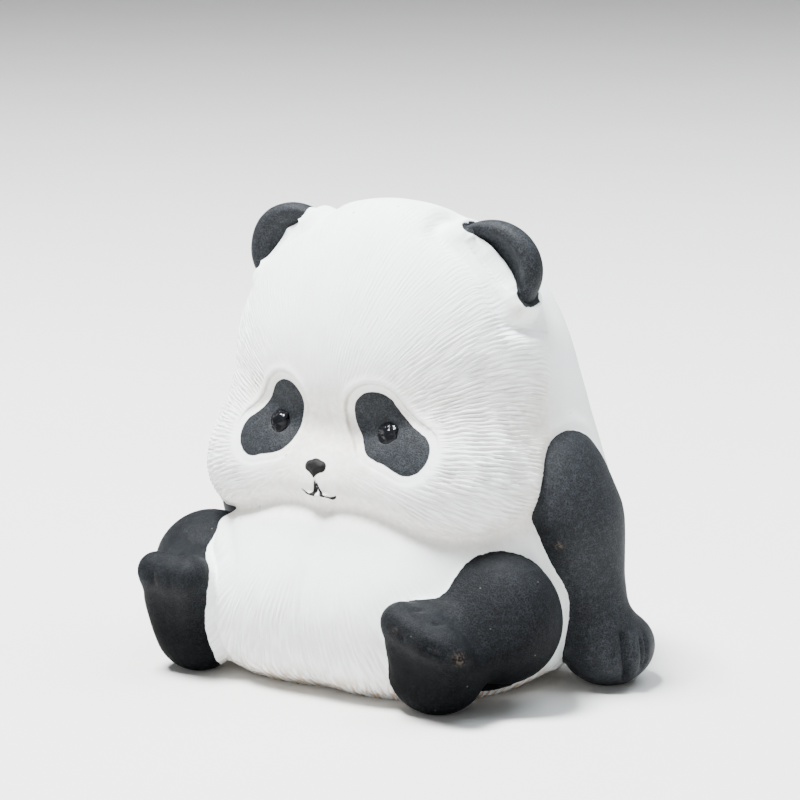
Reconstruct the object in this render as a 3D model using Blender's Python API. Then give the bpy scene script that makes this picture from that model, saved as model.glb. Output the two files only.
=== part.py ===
"""A sitting panda figurine of white clay, with black slip on its limbs, ears and eye patches.

The clay is one fired piece: body, head, arms, legs and ears are pressed together while wet.
The two eyes are beads of black glaze, each half sunk in a socket in its patch.

Frame: metres, +Z up, origin on the table under the middle of the figure. The face looks
along -Y and the figure's left side is at +X.
"""

import math

import bmesh
import bpy
import numpy as np
from mathutils import Vector

# Driving dimensions, in metres
FIGURE_HEIGHT = 0.0542
EYE_BEAD_RADIUS = 0.0013
EYE_BEAD_GAP = 0.0003
LINE_WIDTH = 0.0005

# The pose and proportions are written in clay units, this many to the figure's height
HEIGHT_IN_UNITS = 54.2
UNIT = FIGURE_HEIGHT / HEIGHT_IN_UNITS

# Head and body: middle (x, y, z) and half sizes of each lump of clay, in clay units
BACK = ((0, -0.5, 15.3), (23.9, 20.6, 20.2))
SHOULDERS = ((0, -2.5, 26.4), (20.7, 16.8, 23.4))
BELLY = ((0, -8.0, 8.9), (18.0, 17.0, 12.8))
HIP = ((9.2, -7.5, 7.8), (12.6, 15.0, 11.6))
SKULL = ((0, -6.1, 36.0), (20.1, 12.6, 18.2))
BROW = ((0, -6.5, 36.6), (15.5, 12.7, 12.0))
MUZZLE = ((0, -9.4, 23.6), (13.5, 12.4, 8.1))
CHEEK = ((10.6, -8.9, 23.6), (11.1, 11.7, 9.3))
CHIN_SOFTNESS = 0.5
NAPE_SOFTNESS = 8.2
NAPE_STARTS = (-6.0, 3.0)
CREASE_DEPTH = 0.9
CREASE_WIDTH = 1.1
CREASE_FADES = (-12.0, -4.0)
WAIST_AT = (-19.6, -11.6, 18.2)
WAIST_DEPTH = 3.0
WAIST_WIDTH = 4.0
UNDERCUT_DEPTH = 1.1
UNDERCUT_FADES = (-0.5, 2.4)

# Limbs and ears on the left side; the right side mirrors them
UPPER_ARM = ((22.0, -3.2, 20.5), (4.6, 6.6, 8.9))
UPPER_ARM_LEAN = -10.0
ELBOW = ((22.0, -1.3, 18.0), 4.5)
WRIST = ((24.3, -1.7, 8.1), 4.0)
PAW = ((25.0, 0.2, 4.2), (5.3, 6.2, 4.4))
PAW_TURN = 15.0
RIGHT_ARM_TUCK = 1.6
THIGH = ((19.9, -14.2, 9.7), (6.8, 6.4, 7.3))
KNEE = ((17.6, -15.2, 10.2), 6.0)
ANKLE = ((17.0, -20.8, 7.4), 5.0)
FOOT = ((16.3, -22.8, 8.4), (5.5, 4.6, 4.7))
HEEL = ((15.8, -21.6, 3.8), (5.3, 3.7, 3.8))
BALL_OF_FOOT = (((13.4, -24.9, 10.7), 1.9), ((19.9, -24.4, 10.7), 1.9))
SOLE_AT = (-26.3, 8.0)
SOLE_SLOPE = 14.0
TOE_SIZE = (1.9, 1.8, 1.7)
TOES = ((13.8, -25.0, 10.9), (16.6, -25.2, 11.0), (19.4, -24.8, 11.0))
RIGHT_LEG_TUCK = -0.6
RIGHT_FOOT_LIFT = 1.1
RIGHT_FOOT_NARROWING = 0.12
RIGHT_FOOT_OUTER_X = 22.0
LEFT_FOOT_ROLL = 0.42
LEFT_FOOT_INNER_X = 13.5
FOOT_STARTS = (16.0, 22.0)
FOOT_RISES = (3.0, 9.0)
EAR = ((13.7, -6.2, 47.3), (5.9, 4.5, 5.5))
EAR_HALF_THICKNESS = 1.8
EAR_BOWL = ((13.0, -9.2, 46.8), (5.5, 2.7, 5.3))

# Eye patches, drawn on the face in (x, z) with x out to the side, and the smooth dish round each
LEFT_PATCH = (((5.8, 31.65), 2.8), ((7.2, 29.9), 2.45), ((10.9, 28.1), 2.3))
RIGHT_PATCH = (((6.3, 32.2), 2.45), ((7.3, 29.4), 2.6), ((9.9, 28.1), 2.3))
PATCH_RIM = (0.6, 1.8)
PATCH_DEPTH = 0.4
LEFT_EYE_AT = (7.5, 30.1)
RIGHT_EYE_AT = (-7.0, 29.9)

# Nose, and the mouth's lines as (x, z) points on the muzzle
NOSE = ((-0.4, -20.9, 25.8), (1.45, 0.8, 0.9))
MOUTH = (((-0.1, 24.8), (-0.1, 22.7)), ((-2.1, 23.1), (-0.1, 22.6)), ((-0.1, 22.9), (2.2, 22.5)))

# Grooves between the claws, from one point of the paw's surface to another
CLAW_GROOVES = (((28.9, -3.0, 6.8), (29.2, -3.1, 2.2)), ((30.0, -0.6, 6.0), (30.2, -0.8, 2.8)))
GROOVE_WIDTH = 0.7

# The clay's own middle, from which the surface of the head and body is laid out
TORSO_MIDDLE = (0, -2, 22)
TORSO_RINGS = 42
TORSO_SEGMENTS = 58
FACE_RINGS = 18
FACE_REACH = math.radians(42)
EAR_SPREAD = 4.0


def lump(points, shape, turn=0.0, lean=0.0):
    """Distance to an egg of clay: below 0 inside it, in clay units."""
    middle, half_sizes = shape
    offset = points - np.array(middle, float)
    if turn:
        offset = turned(offset, turn, 0, 1)
    if lean:
        offset = turned(offset, lean, 2, 0)
    sizes = np.array(half_sizes, float)
    near = np.linalg.norm(offset / sizes, axis=1) + 1e-9
    slope = np.linalg.norm(offset / sizes**2, axis=1) + 1e-9
    return near * (near - 1) / slope


def turned(offset, degrees, first, second):
    """The offsets turned back by an angle in the plane of two axes."""
    angle = math.radians(degrees)
    out = offset.copy()
    out[:, first] = offset[:, first] * math.cos(angle) + offset[:, second] * math.sin(angle)
    out[:, second] = offset[:, second] * math.cos(angle) - offset[:, first] * math.sin(angle)
    return out


def roll(points, start, end):
    """Distance to a tapered roll of clay between two balls."""
    first, last = np.array(start[0], float), np.array(end[0], float)
    along = last - first
    share = np.clip((points - first) @ along / (along @ along), 0, 1)
    gap = np.linalg.norm(points - first - share[:, None] * along, axis=1)
    return gap - (start[1] + (end[1] - start[1]) * share)


def pressed(one, other, softness):
    """Two lumps pressed together, with a fillet of the given softness."""
    share = np.clip(0.5 + 0.5 * (other - one) / softness, 0, 1)
    return other * (1 - share) + one * share - softness * share * (1 - share)


def ramp(value, low, high):
    """A smooth step from 0 at low to 1 at high."""
    share = np.clip((value - low) / (high - low), 0, 1)
    return share * share * (3 - 2 * share)


def left_half(points, tuck=0.0):
    """The points with the right side folded onto the left, tucked in by so much."""
    folded = points.copy()
    folded[:, 0] = np.abs(points[:, 0]) + tuck * (points[:, 0] < 0)
    return folded


def patch(points):
    """Distance on the face to the edge of the nearer eye patch, below 0 on the patch."""
    flat = left_half(points)[:, [0, 2]]
    left, right = [
        pressed(roll(flat, *discs[:2]), roll(flat, *discs[1:]), 1.2) for discs in (LEFT_PATCH, RIGHT_PATCH)
    ]
    return np.where(points[:, 0] > 0, left, right)


def torso(points):
    """Body, head and face."""
    side = left_half(points)
    bottom = pressed(lump(points, BELLY), lump(side, HIP), 8.0)
    body = pressed(pressed(lump(points, BACK), lump(points, SHOULDERS), 6.0), bottom, 4.0)
    off_waist = np.linalg.norm(points - np.array(WAIST_AT), axis=1)
    body = body + WAIST_DEPTH * np.exp(-((off_waist / WAIST_WIDTH) ** 2))
    face = pressed(lump(points, MUZZLE), lump(side, CHEEK), 4.0)
    head = pressed(pressed(lump(points, SKULL), face, 6.0), lump(points, BROW), 3.0)
    nape = ramp(points[:, 1], *NAPE_STARTS)
    clay = pressed(body, head, CHIN_SOFTNESS + (NAPE_SOFTNESS - CHIN_SOFTNESS) * nape)
    crease = np.exp(-(((body - head) / CREASE_WIDTH) ** 2)) * (1 - ramp(points[:, 1], *CREASE_FADES))
    clay = clay + CREASE_DEPTH * crease
    clay = clay + UNDERCUT_DEPTH * (1 - ramp(points[:, 2], *UNDERCUT_FADES))
    dish = PATCH_DEPTH * (1 - ramp(patch(points), *PATCH_RIM)) * (points[:, 1] < 0)
    return clay + dish


def arm(points):
    """Arm and paw."""
    side = left_half(points, RIGHT_ARM_TUCK)
    upper = pressed(lump(side, UPPER_ARM, lean=UPPER_ARM_LEAN), roll(side, ELBOW, WRIST), 3.0)
    return pressed(upper, lump(side, PAW, turn=PAW_TURN), 2.0)


def leg(points):
    """Thigh, shin, and a foot with a flat sole under a ridge of three toes."""
    side = left_half(points, RIGHT_LEG_TUCK)
    right = points[:, 0] < 0
    foot = ramp(-points[:, 1], *FOOT_STARTS)
    rolled = LEFT_FOOT_ROLL * np.maximum(side[:, 0] - LEFT_FOOT_INNER_X, 0.0)
    side[:, 2] += foot * ramp(points[:, 2], *FOOT_RISES) * np.where(right, -RIGHT_FOOT_LIFT, rolled)
    side[:, 0] -= RIGHT_FOOT_NARROWING * right * foot * (RIGHT_FOOT_OUTER_X - side[:, 0])
    limb = pressed(lump(side, THIGH), roll(side, KNEE, ANKLE), 2.0)
    foot = pressed(lump(side, FOOT), lump(side, HEEL), 2.0)
    slope = math.radians(SOLE_SLOPE)
    ahead = (SOLE_AT[0] - side[:, 1]) * math.cos(slope) + (SOLE_AT[1] - side[:, 2]) * math.sin(slope)
    clay = -pressed(-pressed(limb, foot, 2.0), -ahead, 0.7)
    clay = pressed(clay, roll(side, *BALL_OF_FOOT), 1.2)
    for toe in TOES:
        clay = pressed(clay, lump(side, (toe, TOE_SIZE)), 1.6)
    return clay


def ear(points):
    """A thick round leaf of clay with a bowl pressed into its front."""
    side = left_half(points)
    faces = np.abs(side[:, 1] - EAR[0][1]) - EAR_HALF_THICKNESS
    disc = -pressed(-lump(side, EAR), -faces, 1.0)
    return -pressed(-disc, lump(side, EAR_BOWL), 0.2)


# Each limb's name, form, segments, rings, tuck of the right one, the two ends of its middle, and
# how far its rays start out from the middle
LIMBS = (
    ("arm", arm, 16, 18, RIGHT_ARM_TUCK, ((22.0, -3.2, 24.0), (24.8, -0.3, 4.6)), 0.0),
    ("leg", leg, 28, 20, RIGHT_LEG_TUCK, ((19.4, -13.6, 9.2), (16.8, -21.8, 7.8)), 0.0),
    ("ear", ear, 20, 14, 0.0, ((13.7, -4.8, 47.4), (13.7, -5.1, 47.4)), EAR_SPREAD),
)


def surface_reach(field, starts, directions, furthest=60.0):
    """How far each ray runs inside the clay before it first comes out."""
    reach = np.full(len(directions), 0.2)
    for _ in range(80):
        depth = field(starts + directions * reach[:, None])
        reach = np.minimum(reach + np.maximum(-0.8 * depth, 0), furthest)
    return reach


def collection(name):
    """A new collection in the scene."""
    made = bpy.data.collections.new(name)
    bpy.context.scene.collection.children.link(made)
    return made


def material(name, colour, roughness):
    """A plain Principled material."""
    made = bpy.data.materials.new(name)
    made.use_nodes = True
    shader = made.node_tree.nodes["Principled BSDF"]
    shader.inputs["Base Color"].default_value = (*colour, 1)
    shader.inputs["Roughness"].default_value = roughness
    shader.inputs["Metallic"].default_value = 0.0
    return made


def new_object(name, shape, home, finish):
    """A new object from a bmesh, in a collection and with a material."""
    mesh = bpy.data.meshes.new(name)
    shape.to_mesh(mesh)
    shape.free()
    mesh.shade_smooth()
    mesh.materials.append(finish)
    made = bpy.data.objects.new(name, mesh)
    home.objects.link(made)
    return made


def ball(name, segments, rings, home, finish):
    """A unit ball with its poles on Z."""
    shape = bmesh.new()
    bmesh.ops.create_uvsphere(shape, u_segments=segments, v_segments=rings, radius=1)
    return new_object(name, shape, home, finish)


def corners(made):
    """The vertices of an object's mesh as an array."""
    flat = np.empty(len(made.data.vertices) * 3)
    made.data.vertices.foreach_get("co", flat)
    return flat.reshape(-1, 3)


def place_corners(made, points):
    """Move an object's vertices to points given in clay units."""
    made.data.vertices.foreach_set("co", (points * UNIT).ravel())
    made.data.update()


def pull_torso(made):
    """Pull a ball out to the head and body, with its fine rings round the face."""
    unit = corners(made)
    ring = np.arccos(np.clip(unit[:, 2], -1, 1)) * TORSO_RINGS / math.pi
    fine = ring / FACE_RINGS * FACE_REACH
    coarse = FACE_REACH + (ring - FACE_RINGS) / (TORSO_RINGS - FACE_RINGS) * (math.pi - FACE_REACH)
    angle = np.where(ring < FACE_RINGS, fine, coarse)
    around = np.arctan2(unit[:, 1], unit[:, 0])
    directions = np.stack(
        [-np.sin(angle) * np.sin(around), -np.cos(angle), np.sin(angle) * np.cos(around)], axis=1
    )
    starts = np.broadcast_to(np.array(TORSO_MIDDLE, float), directions.shape)
    place_corners(made, starts + directions * surface_reach(torso, starts, directions)[:, None])


def pull_limb(made, field, back, front, spread, side):
    """Pull a ball out to a limb whose middle runs between two points, on the side of sign side."""
    unit = corners(made)
    sign = np.array([side, 1, 1])
    back, front = np.array(back) * sign, np.array(front) * sign
    starts = front + (unit[:, 2:] + 1) / 2 * (back - front)
    turn = Vector(back - front).to_track_quat("Z", "Y").to_matrix()
    directions = unit @ np.array(turn).T
    starts = starts + spread * (unit * [1, 1, 0]) @ np.array(turn).T
    place_corners(made, starts + directions * surface_reach(field, starts, directions)[:, None])


def squashed_ball(name, shape, home, finish, segments=14, rings=8):
    """An egg of clay set at its place."""
    made = ball(name, segments, rings, home, finish)
    middle, half_sizes = np.array(shape[0]), np.array(shape[1])
    place_corners(made, corners(made) * half_sizes + middle)
    return made


def line_tool(name, start, end, width, home, finish):
    """A long thin egg that scores a line of the given width from one point to another."""
    made = ball(name, 8, 8, home, finish)
    first, last = np.array(start, float), np.array(end, float)
    length = np.linalg.norm(last - first)
    turn = Vector(last - first).to_track_quat("Z", "Y").to_matrix()
    long_egg = corners(made) * np.array([width / 2, width / 2, length / 2 + width / 2])
    place_corners(made, long_egg @ np.array(turn).T + (first + last) / 2)
    return made


def on_face(x, z):
    """The point of the face's surface straight behind a point drawn in front of it."""
    start = np.array([[x, TORSO_MIDDLE[1], z]], float)
    forward = np.array([[0.0, -1.0, 0.0]])
    return (start + forward * surface_reach(torso, start, forward)[:, None])[0]


def hide_tool(made):
    """Keep a shape that only forms another out of the model."""
    made.hide_render = True
    made.display_type = "WIRE"


def boolean(target, tools, operation):
    """Join tools to a target or cut them from it, one after another."""
    for tool in tools:
        step = target.modifiers.new(tool.name, "BOOLEAN")
        step.object = tool
        step.operation = operation
        step.solver = "EXACT"
        step.material_mode = "TRANSFER"
        hide_tool(tool)


def limbs(home, finish):
    """Arms, legs and ears on both sides."""
    made = []
    for word, side in (("left", 1), ("right", -1)):
        for name, field, segments, rings, right_tuck, ends, spread in LIMBS:
            tuck = right_tuck * (side < 0)
            back, front = [np.array(end) - np.array([tuck, 0, 0]) for end in ends]
            limb = ball(f"{word}_{name}", segments, rings, home, finish)
            pull_limb(limb, field, back, front, spread, side)
            made.append(limb)
    return made


def scored_lines(home, finish):
    """Tools that score the mouth and the claws."""
    made = []
    for number, line in enumerate(MOUTH):
        ends = [on_face(x, z) for x, z in line]
        made.append(line_tool(f"mouth_tool_{number}", *ends, LINE_WIDTH / UNIT, home, finish))
    for word, side in (("left", 1), ("right", -1)):
        tuck = RIGHT_ARM_TUCK * (side < 0)
        for number, line in enumerate(CLAW_GROOVES):
            ends = [((x - tuck) * side, y, z) for x, y, z in line]
            made.append(line_tool(f"{word}_claw_tool_{number}", *ends, GROOVE_WIDTH, home, finish))
    return made


def eyes(home, tools, glaze):
    """The two glaze beads, and the tools that press their sockets."""
    sockets = []
    for word, eye_at in (("left", LEFT_EYE_AT), ("right", RIGHT_EYE_AT)):
        middle = on_face(*eye_at)
        radius = EYE_BEAD_RADIUS / UNIT
        squashed_ball(f"{word}_eye_bead", (middle, (radius,) * 3), home, glaze, 16, 10)
        room = radius + EYE_BEAD_GAP / UNIT
        sockets.append(squashed_ball(f"{word}_socket_tool", (middle, (room,) * 3), tools, glaze, 16, 10))
    return sockets


def table_tool(home, finish):
    """A block under the table's level that cuts the underside flat."""
    shape = bmesh.new()
    bmesh.ops.create_cube(shape, size=2)
    made = new_object("table_tool", shape, home, finish)
    place_corners(made, (corners(made) - np.array([0, 0, 1])) * HEIGHT_IN_UNITS)
    return made


def main():
    """Model the figurine."""
    for old in list(bpy.data.objects):
        bpy.data.objects.remove(old)
    figure = collection("panda_figurine")
    tools = collection("shaping_tools")
    white = material("white_clay", (0.80, 0.79, 0.76), 0.75)
    black = material("black_slip", (0.032, 0.033, 0.038), 0.7)
    glaze = material("black_glaze", (0.006, 0.006, 0.007), 0.08)

    body = ball("panda_body", TORSO_SEGMENTS, TORSO_RINGS, figure, white)
    pull_torso(body)
    nose = squashed_ball("nose", NOSE, tools, black)
    boolean(body, limbs(tools, black) + [nose], "UNION")
    sockets = eyes(figure, tools, glaze)
    boolean(body, scored_lines(tools, black) + sockets, "DIFFERENCE")
    boolean(body, [table_tool(tools, white)], "DIFFERENCE")


main()
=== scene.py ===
"""The looks of a small sitting panda figurine of white clay with black slip.

The clay is worked out as one closed surface. The head and body are laid out on a
polar grid round the middle of the face, so its lines run the way the fur is combed.
Arms, legs and ears are grids round their own middles, joined to it, and every joint
is smoothed with a fillet. Lengths are in clay units, 54.2 of them to the figure's
height, until a surface is put into its mesh. The face looks along -Y and the
figure's left side is at +X.
"""

from __future__ import annotations

import logging
import math
from dataclasses import dataclass, field
from enum import Enum
from typing import Callable

import bpy
import numpy as np
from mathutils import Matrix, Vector


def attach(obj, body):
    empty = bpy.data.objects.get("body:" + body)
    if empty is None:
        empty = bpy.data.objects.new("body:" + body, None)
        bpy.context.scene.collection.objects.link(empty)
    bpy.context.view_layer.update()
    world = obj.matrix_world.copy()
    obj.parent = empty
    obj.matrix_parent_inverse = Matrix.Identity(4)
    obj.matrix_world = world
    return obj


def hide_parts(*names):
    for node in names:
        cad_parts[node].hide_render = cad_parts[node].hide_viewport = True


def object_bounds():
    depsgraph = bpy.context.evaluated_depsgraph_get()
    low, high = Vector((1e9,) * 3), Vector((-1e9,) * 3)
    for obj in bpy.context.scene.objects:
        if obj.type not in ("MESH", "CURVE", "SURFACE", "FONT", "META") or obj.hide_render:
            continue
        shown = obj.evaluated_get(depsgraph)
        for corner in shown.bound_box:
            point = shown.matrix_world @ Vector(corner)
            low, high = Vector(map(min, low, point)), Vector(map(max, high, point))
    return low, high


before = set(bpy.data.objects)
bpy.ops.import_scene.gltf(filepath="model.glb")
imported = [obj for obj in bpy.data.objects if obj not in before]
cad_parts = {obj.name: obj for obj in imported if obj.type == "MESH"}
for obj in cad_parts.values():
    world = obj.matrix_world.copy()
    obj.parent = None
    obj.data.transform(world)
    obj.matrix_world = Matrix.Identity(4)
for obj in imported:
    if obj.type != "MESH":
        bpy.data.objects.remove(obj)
CAD_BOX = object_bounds()

Array = np.ndarray
Place = tuple[float, float, float]
Span = tuple[float, float]
Dots = tuple[tuple[float, ...], ...]
Colour = tuple[float, float, float, float]
Piece = bpy.types.Object
Socket = bpy.types.NodeSocket
HEIGHT_IN_UNITS = 54.2
UNIT = (CAD_BOX[1].z - CAD_BOX[0].z) / HEIGHT_IN_UNITS
TINY = 1e-9
LOG = logging.getLogger("panda")


class Side(Enum):
    """The two sides of the figure, as the sign of x."""

    LEFT = 1
    RIGHT = -1


def pressed(one: Array, other: Array, softness: float | Array) -> Array:
    """Press two lumps together: the lower distance, less a fillet where both are near.

    Args:
        one: Distance to the first lump at each point.
        other: Distance to the second lump.
        softness: Width of the fillet.

    Returns:
        Distance to the joined clay.
    """
    share = np.clip(0.5 + 0.5 * (other - one) / softness, 0, 1)
    return other * (1 - share) + one * share - softness * share * (1 - share)


def ramp(value: Array, low: float, high: float) -> Array:
    """Climb from 0 at low to 1 at high along the curve 3t^2 - 2t^3.

    Args:
        value: Where the step is read.
        low: Value at which it starts.
        high: Value at which it ends.

    Returns:
        The height of the step at each value.
    """
    share = np.clip((value - low) / (high - low), 0, 1)
    return share * share * (3 - 2 * share)


def fade(value: Array, low: float, high: float) -> Array:
    """Fall from 1 at low to 0 at high, as 1 less the ramp."""
    return 1 - ramp(value, low, high)


def hump(value: Array, middle: float, width: float) -> Array:
    """A bell of height 1, exp(-((value - middle) / width)^2)."""
    return np.exp(-(((value - middle) / width) ** 2))


def spot(points: Array, place: tuple[float, ...], width: float) -> Array:
    """A round spot, the hump of the distance from a place."""
    return hump(np.linalg.norm(points - np.array(place), axis=1), 0.0, width)


@dataclass(frozen=True)
class Ridge:
    """A ridge beside an edge, or a groove where its height is below 0.

    Args:
        height: Its height.
        place: Its distance from the edge.
        width: How wide it is to each side.
    """

    height: float
    place: float
    width: float

    def over(self, distance: Array) -> Array:
        """Its height at each distance from the edge, as a hump."""
        return self.height * hump(distance, self.place, self.width)


def turned(offset: Array, degrees: float, first: int, second: int) -> Array:
    """Turn offsets back by an angle in the plane of two axes.

    Args:
        offset: Points from the lump's middle, one a row.
        degrees: Angle of the lump.
        first: The axis that turns towards the second.
        second: The other axis.

    Returns:
        The offsets in the lump's own axes.
    """
    angle = math.radians(degrees)
    out = offset.copy()
    out[:, first] = offset[:, first] * math.cos(angle) + offset[:, second] * math.sin(angle)
    out[:, second] = offset[:, second] * math.cos(angle) - offset[:, first] * math.sin(angle)
    return out


def folded(points: Array, tuck: float = 0.0) -> Array:
    """Fold the right side onto the left.

    Args:
        points: Points, one a row.
        tuck: How far the right limb sits further in than the left one.

    Returns:
        The points with x replaced by its size, plus the tuck on the right.
    """
    out = points.copy()
    out[:, 0] = np.abs(points[:, 0]) + tuck * (points[:, 0] < 0)
    return out


@dataclass(frozen=True)
class Lump:
    """An egg of clay.

    Args:
        middle: Its middle.
        half_sizes: Its half sizes along x, y and z.
        turn: Its turn about z, in degrees.
        lean: Its lean about y, in degrees.
    """

    middle: Place
    half_sizes: Place
    turn: float = 0.0
    lean: float = 0.0

    def depth(self, points: Array) -> Array:
        """Distance to the egg: k(k - 1) / g, with k the offset in half sizes and g its slope.

        Args:
            points: Points, one a row.

        Returns:
            Distance at each point, below 0 inside.
        """
        offset = points - np.array(self.middle, float)
        if self.turn:
            offset = turned(offset, self.turn, 0, 1)
        if self.lean:
            offset = turned(offset, self.lean, 2, 0)
        sizes = np.array(self.half_sizes, float)
        near = np.linalg.norm(offset / sizes, axis=1) + TINY
        slope_there = np.linalg.norm(offset / sizes**2, axis=1) + TINY
        return near * (near - 1) / slope_there


@dataclass(frozen=True)
class Roll:
    """A tapered roll of clay between two balls, or a brush mark between two dots.

    Args:
        start: Middle of the first ball.
        start_radius: Its radius.
        end: Middle of the second ball.
        end_radius: Its radius.
    """

    start: tuple[float, ...]
    start_radius: float
    end: tuple[float, ...]
    end_radius: float

    def depth(self, points: Array) -> Array:
        """Distance to the nearest point of the middle line, less the radius there.

        Args:
            points: Points, one a row.

        Returns:
            Distance at each point, below 0 inside.
        """
        first, last = np.array(self.start, float), np.array(self.end, float)
        along = last - first
        share = np.clip((points - first) @ along / (along @ along), 0, 1)
        gap = np.linalg.norm(points - first - share[:, None] * along, axis=1)
        return gap - (self.start_radius + (self.end_radius - self.start_radius) * share)


def brush(dots: Dots, softness: float = 0.0) -> Callable[[Array], Array]:
    """A brush mark through dots, each given as its place followed by its radius.

    Args:
        dots: The dots in the order in which the brush passes them.
        softness: Fillet between neighbouring stretches, 0 for none.

    Returns:
        A function that gives the distance to the mark's edge.
    """
    rolls = [Roll(a[:-1], a[-1], b[:-1], b[-1]) for a, b in zip(dots, dots[1:])]

    def depth(points: Array) -> Array:
        """Distance to the mark's edge, the least of its stretches' distances.

        Args:
            points: Points, one a row.

        Returns:
            Distance at each point, below 0 on the mark.
        """
        best = rolls[0].depth(points)
        for stretch in rolls[1:]:
            other = stretch.depth(points)
            best = pressed(best, other, softness) if softness else np.minimum(best, other)
        return best

    return depth


@dataclass(frozen=True)
class Grain:
    """Smooth noise of about -1 to 1 from a seeded block of numbers.

    Args:
        seed: Seed of the block.
        cells: Cells along each side of the block, after which it repeats.
    """

    seed: int
    cells: int = 32

    def at(self, points: Array, size: float | Place) -> Array:
        """Blend the eight corners of the cell that holds each point, by 3t^2 - 2t^3.

        Args:
            points: Points, one a row of three.
            size: Size of a cell, for all axes or one each.

        Returns:
            The noise at each point.
        """
        block = np.random.default_rng(self.seed).uniform(-1, 1, (self.cells,) * 3)
        place = points / np.array(size, float)
        base = np.floor(place).astype(int)
        part = place - base
        part = part * part * (3 - 2 * part)
        total = np.zeros(len(points))
        for corner in np.ndindex(2, 2, 2):
            weight = np.prod(np.where(np.array(corner), part, 1 - part), axis=1)
            cell = (base + np.array(corner)) % self.cells
            total += weight * block[cell[:, 0], cell[:, 1], cell[:, 2]]
        return total


def kneaded(points: Array, prints: tuple[tuple[int, float, float], ...]) -> Array:
    """Add up the noises that stand for the marks of fingers.

    Args:
        points: Points, one a row.
        prints: Seed, height and size of each noise.

    Returns:
        Height at each point.
    """
    return sum(height * Grain(seed).at(points, size) for seed, height, size in prints)


@dataclass(frozen=True)
class Arm:
    """An arm with its paw, and the claws scored in the paw.

    What is scored is drawn on the paw's outer face, each dot as (across, up, radius).
    """

    upper: Lump = Lump((22.0, -3.2, 20.5), (4.6, 6.6, 8.9), lean=-10.0)
    forearm: Roll = Roll((22.0, -1.3, 18.0), 4.5, (24.3, -1.7, 8.1), 4.0)
    paw: Lump = Lump((25.0, 0.2, 4.2), (5.3, 6.2, 4.4), turn=15.0)
    elbow_fillet: float = 3.0
    wrist_fillet: float = 2.0
    middle: tuple[Place, Place] = ((22.0, -3.2, 24.0), (24.8, -0.3, 4.6))
    right_tuck: float = 1.6
    spread: float = 0.0
    segments: int = 110
    rings: int = 92
    fine_towards: Place = (0.8, -0.6, 0.0)
    outer_face: float = 21.0
    scored: tuple[tuple[Dots, Ridge], ...] = (
        (((14.9, 7.2, 0.1), (14.9, 4.4, 0.1), (15.3, 1.6, 0.0)), Ridge(-0.85, 0.0, 0.32)),
        (((13.9, 5.6, 0.05), (13.5, 4.4, 0.0)), Ridge(-0.45, 0.0, 0.32)),
        (((17.6, 5.5, 0.5), (17.6, 3.2, 0.45)), Ridge(-0.55, 0.0, 0.22)),
    )
    finger_across: Ridge = Ridge(0.40, 16.2, 0.7)
    finger_up: Ridge = Ridge(1.0, 4.0, 3.0)

    def depth(self, points: Array) -> Array:
        """Distance to both arms: upper arm, forearm and paw pressed together.

        Args:
            points: Points, one a row.

        Returns:
            Distance at each point, below 0 inside.
        """
        side = folded(points, self.right_tuck)
        upper = pressed(self.upper.depth(side), self.forearm.depth(side), self.elbow_fillet)
        return pressed(upper, self.paw.depth(side), self.wrist_fillet)

    def relief(self, points: Array) -> Array:
        """Claws: grooves down the paw, one of them closed to an oval round a raised claw.

        Args:
            points: Points on the plain clay.

        Returns:
            Height at each point.
        """
        side = folded(points, self.right_tuck)
        out_x, out_y, _ = self.fine_towards
        across = side[:, 1] * out_x - side[:, 0] * out_y
        drawn = np.column_stack([across, side[:, 2]])
        out = np.zeros(len(points))
        for dots, groove in self.scored:
            out += groove.over(brush(dots)(drawn))
        out += self.finger_across.over(across) * self.finger_up.over(side[:, 2])
        return out * (side[:, 0] * out_x + side[:, 1] * out_y > self.outer_face)


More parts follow.
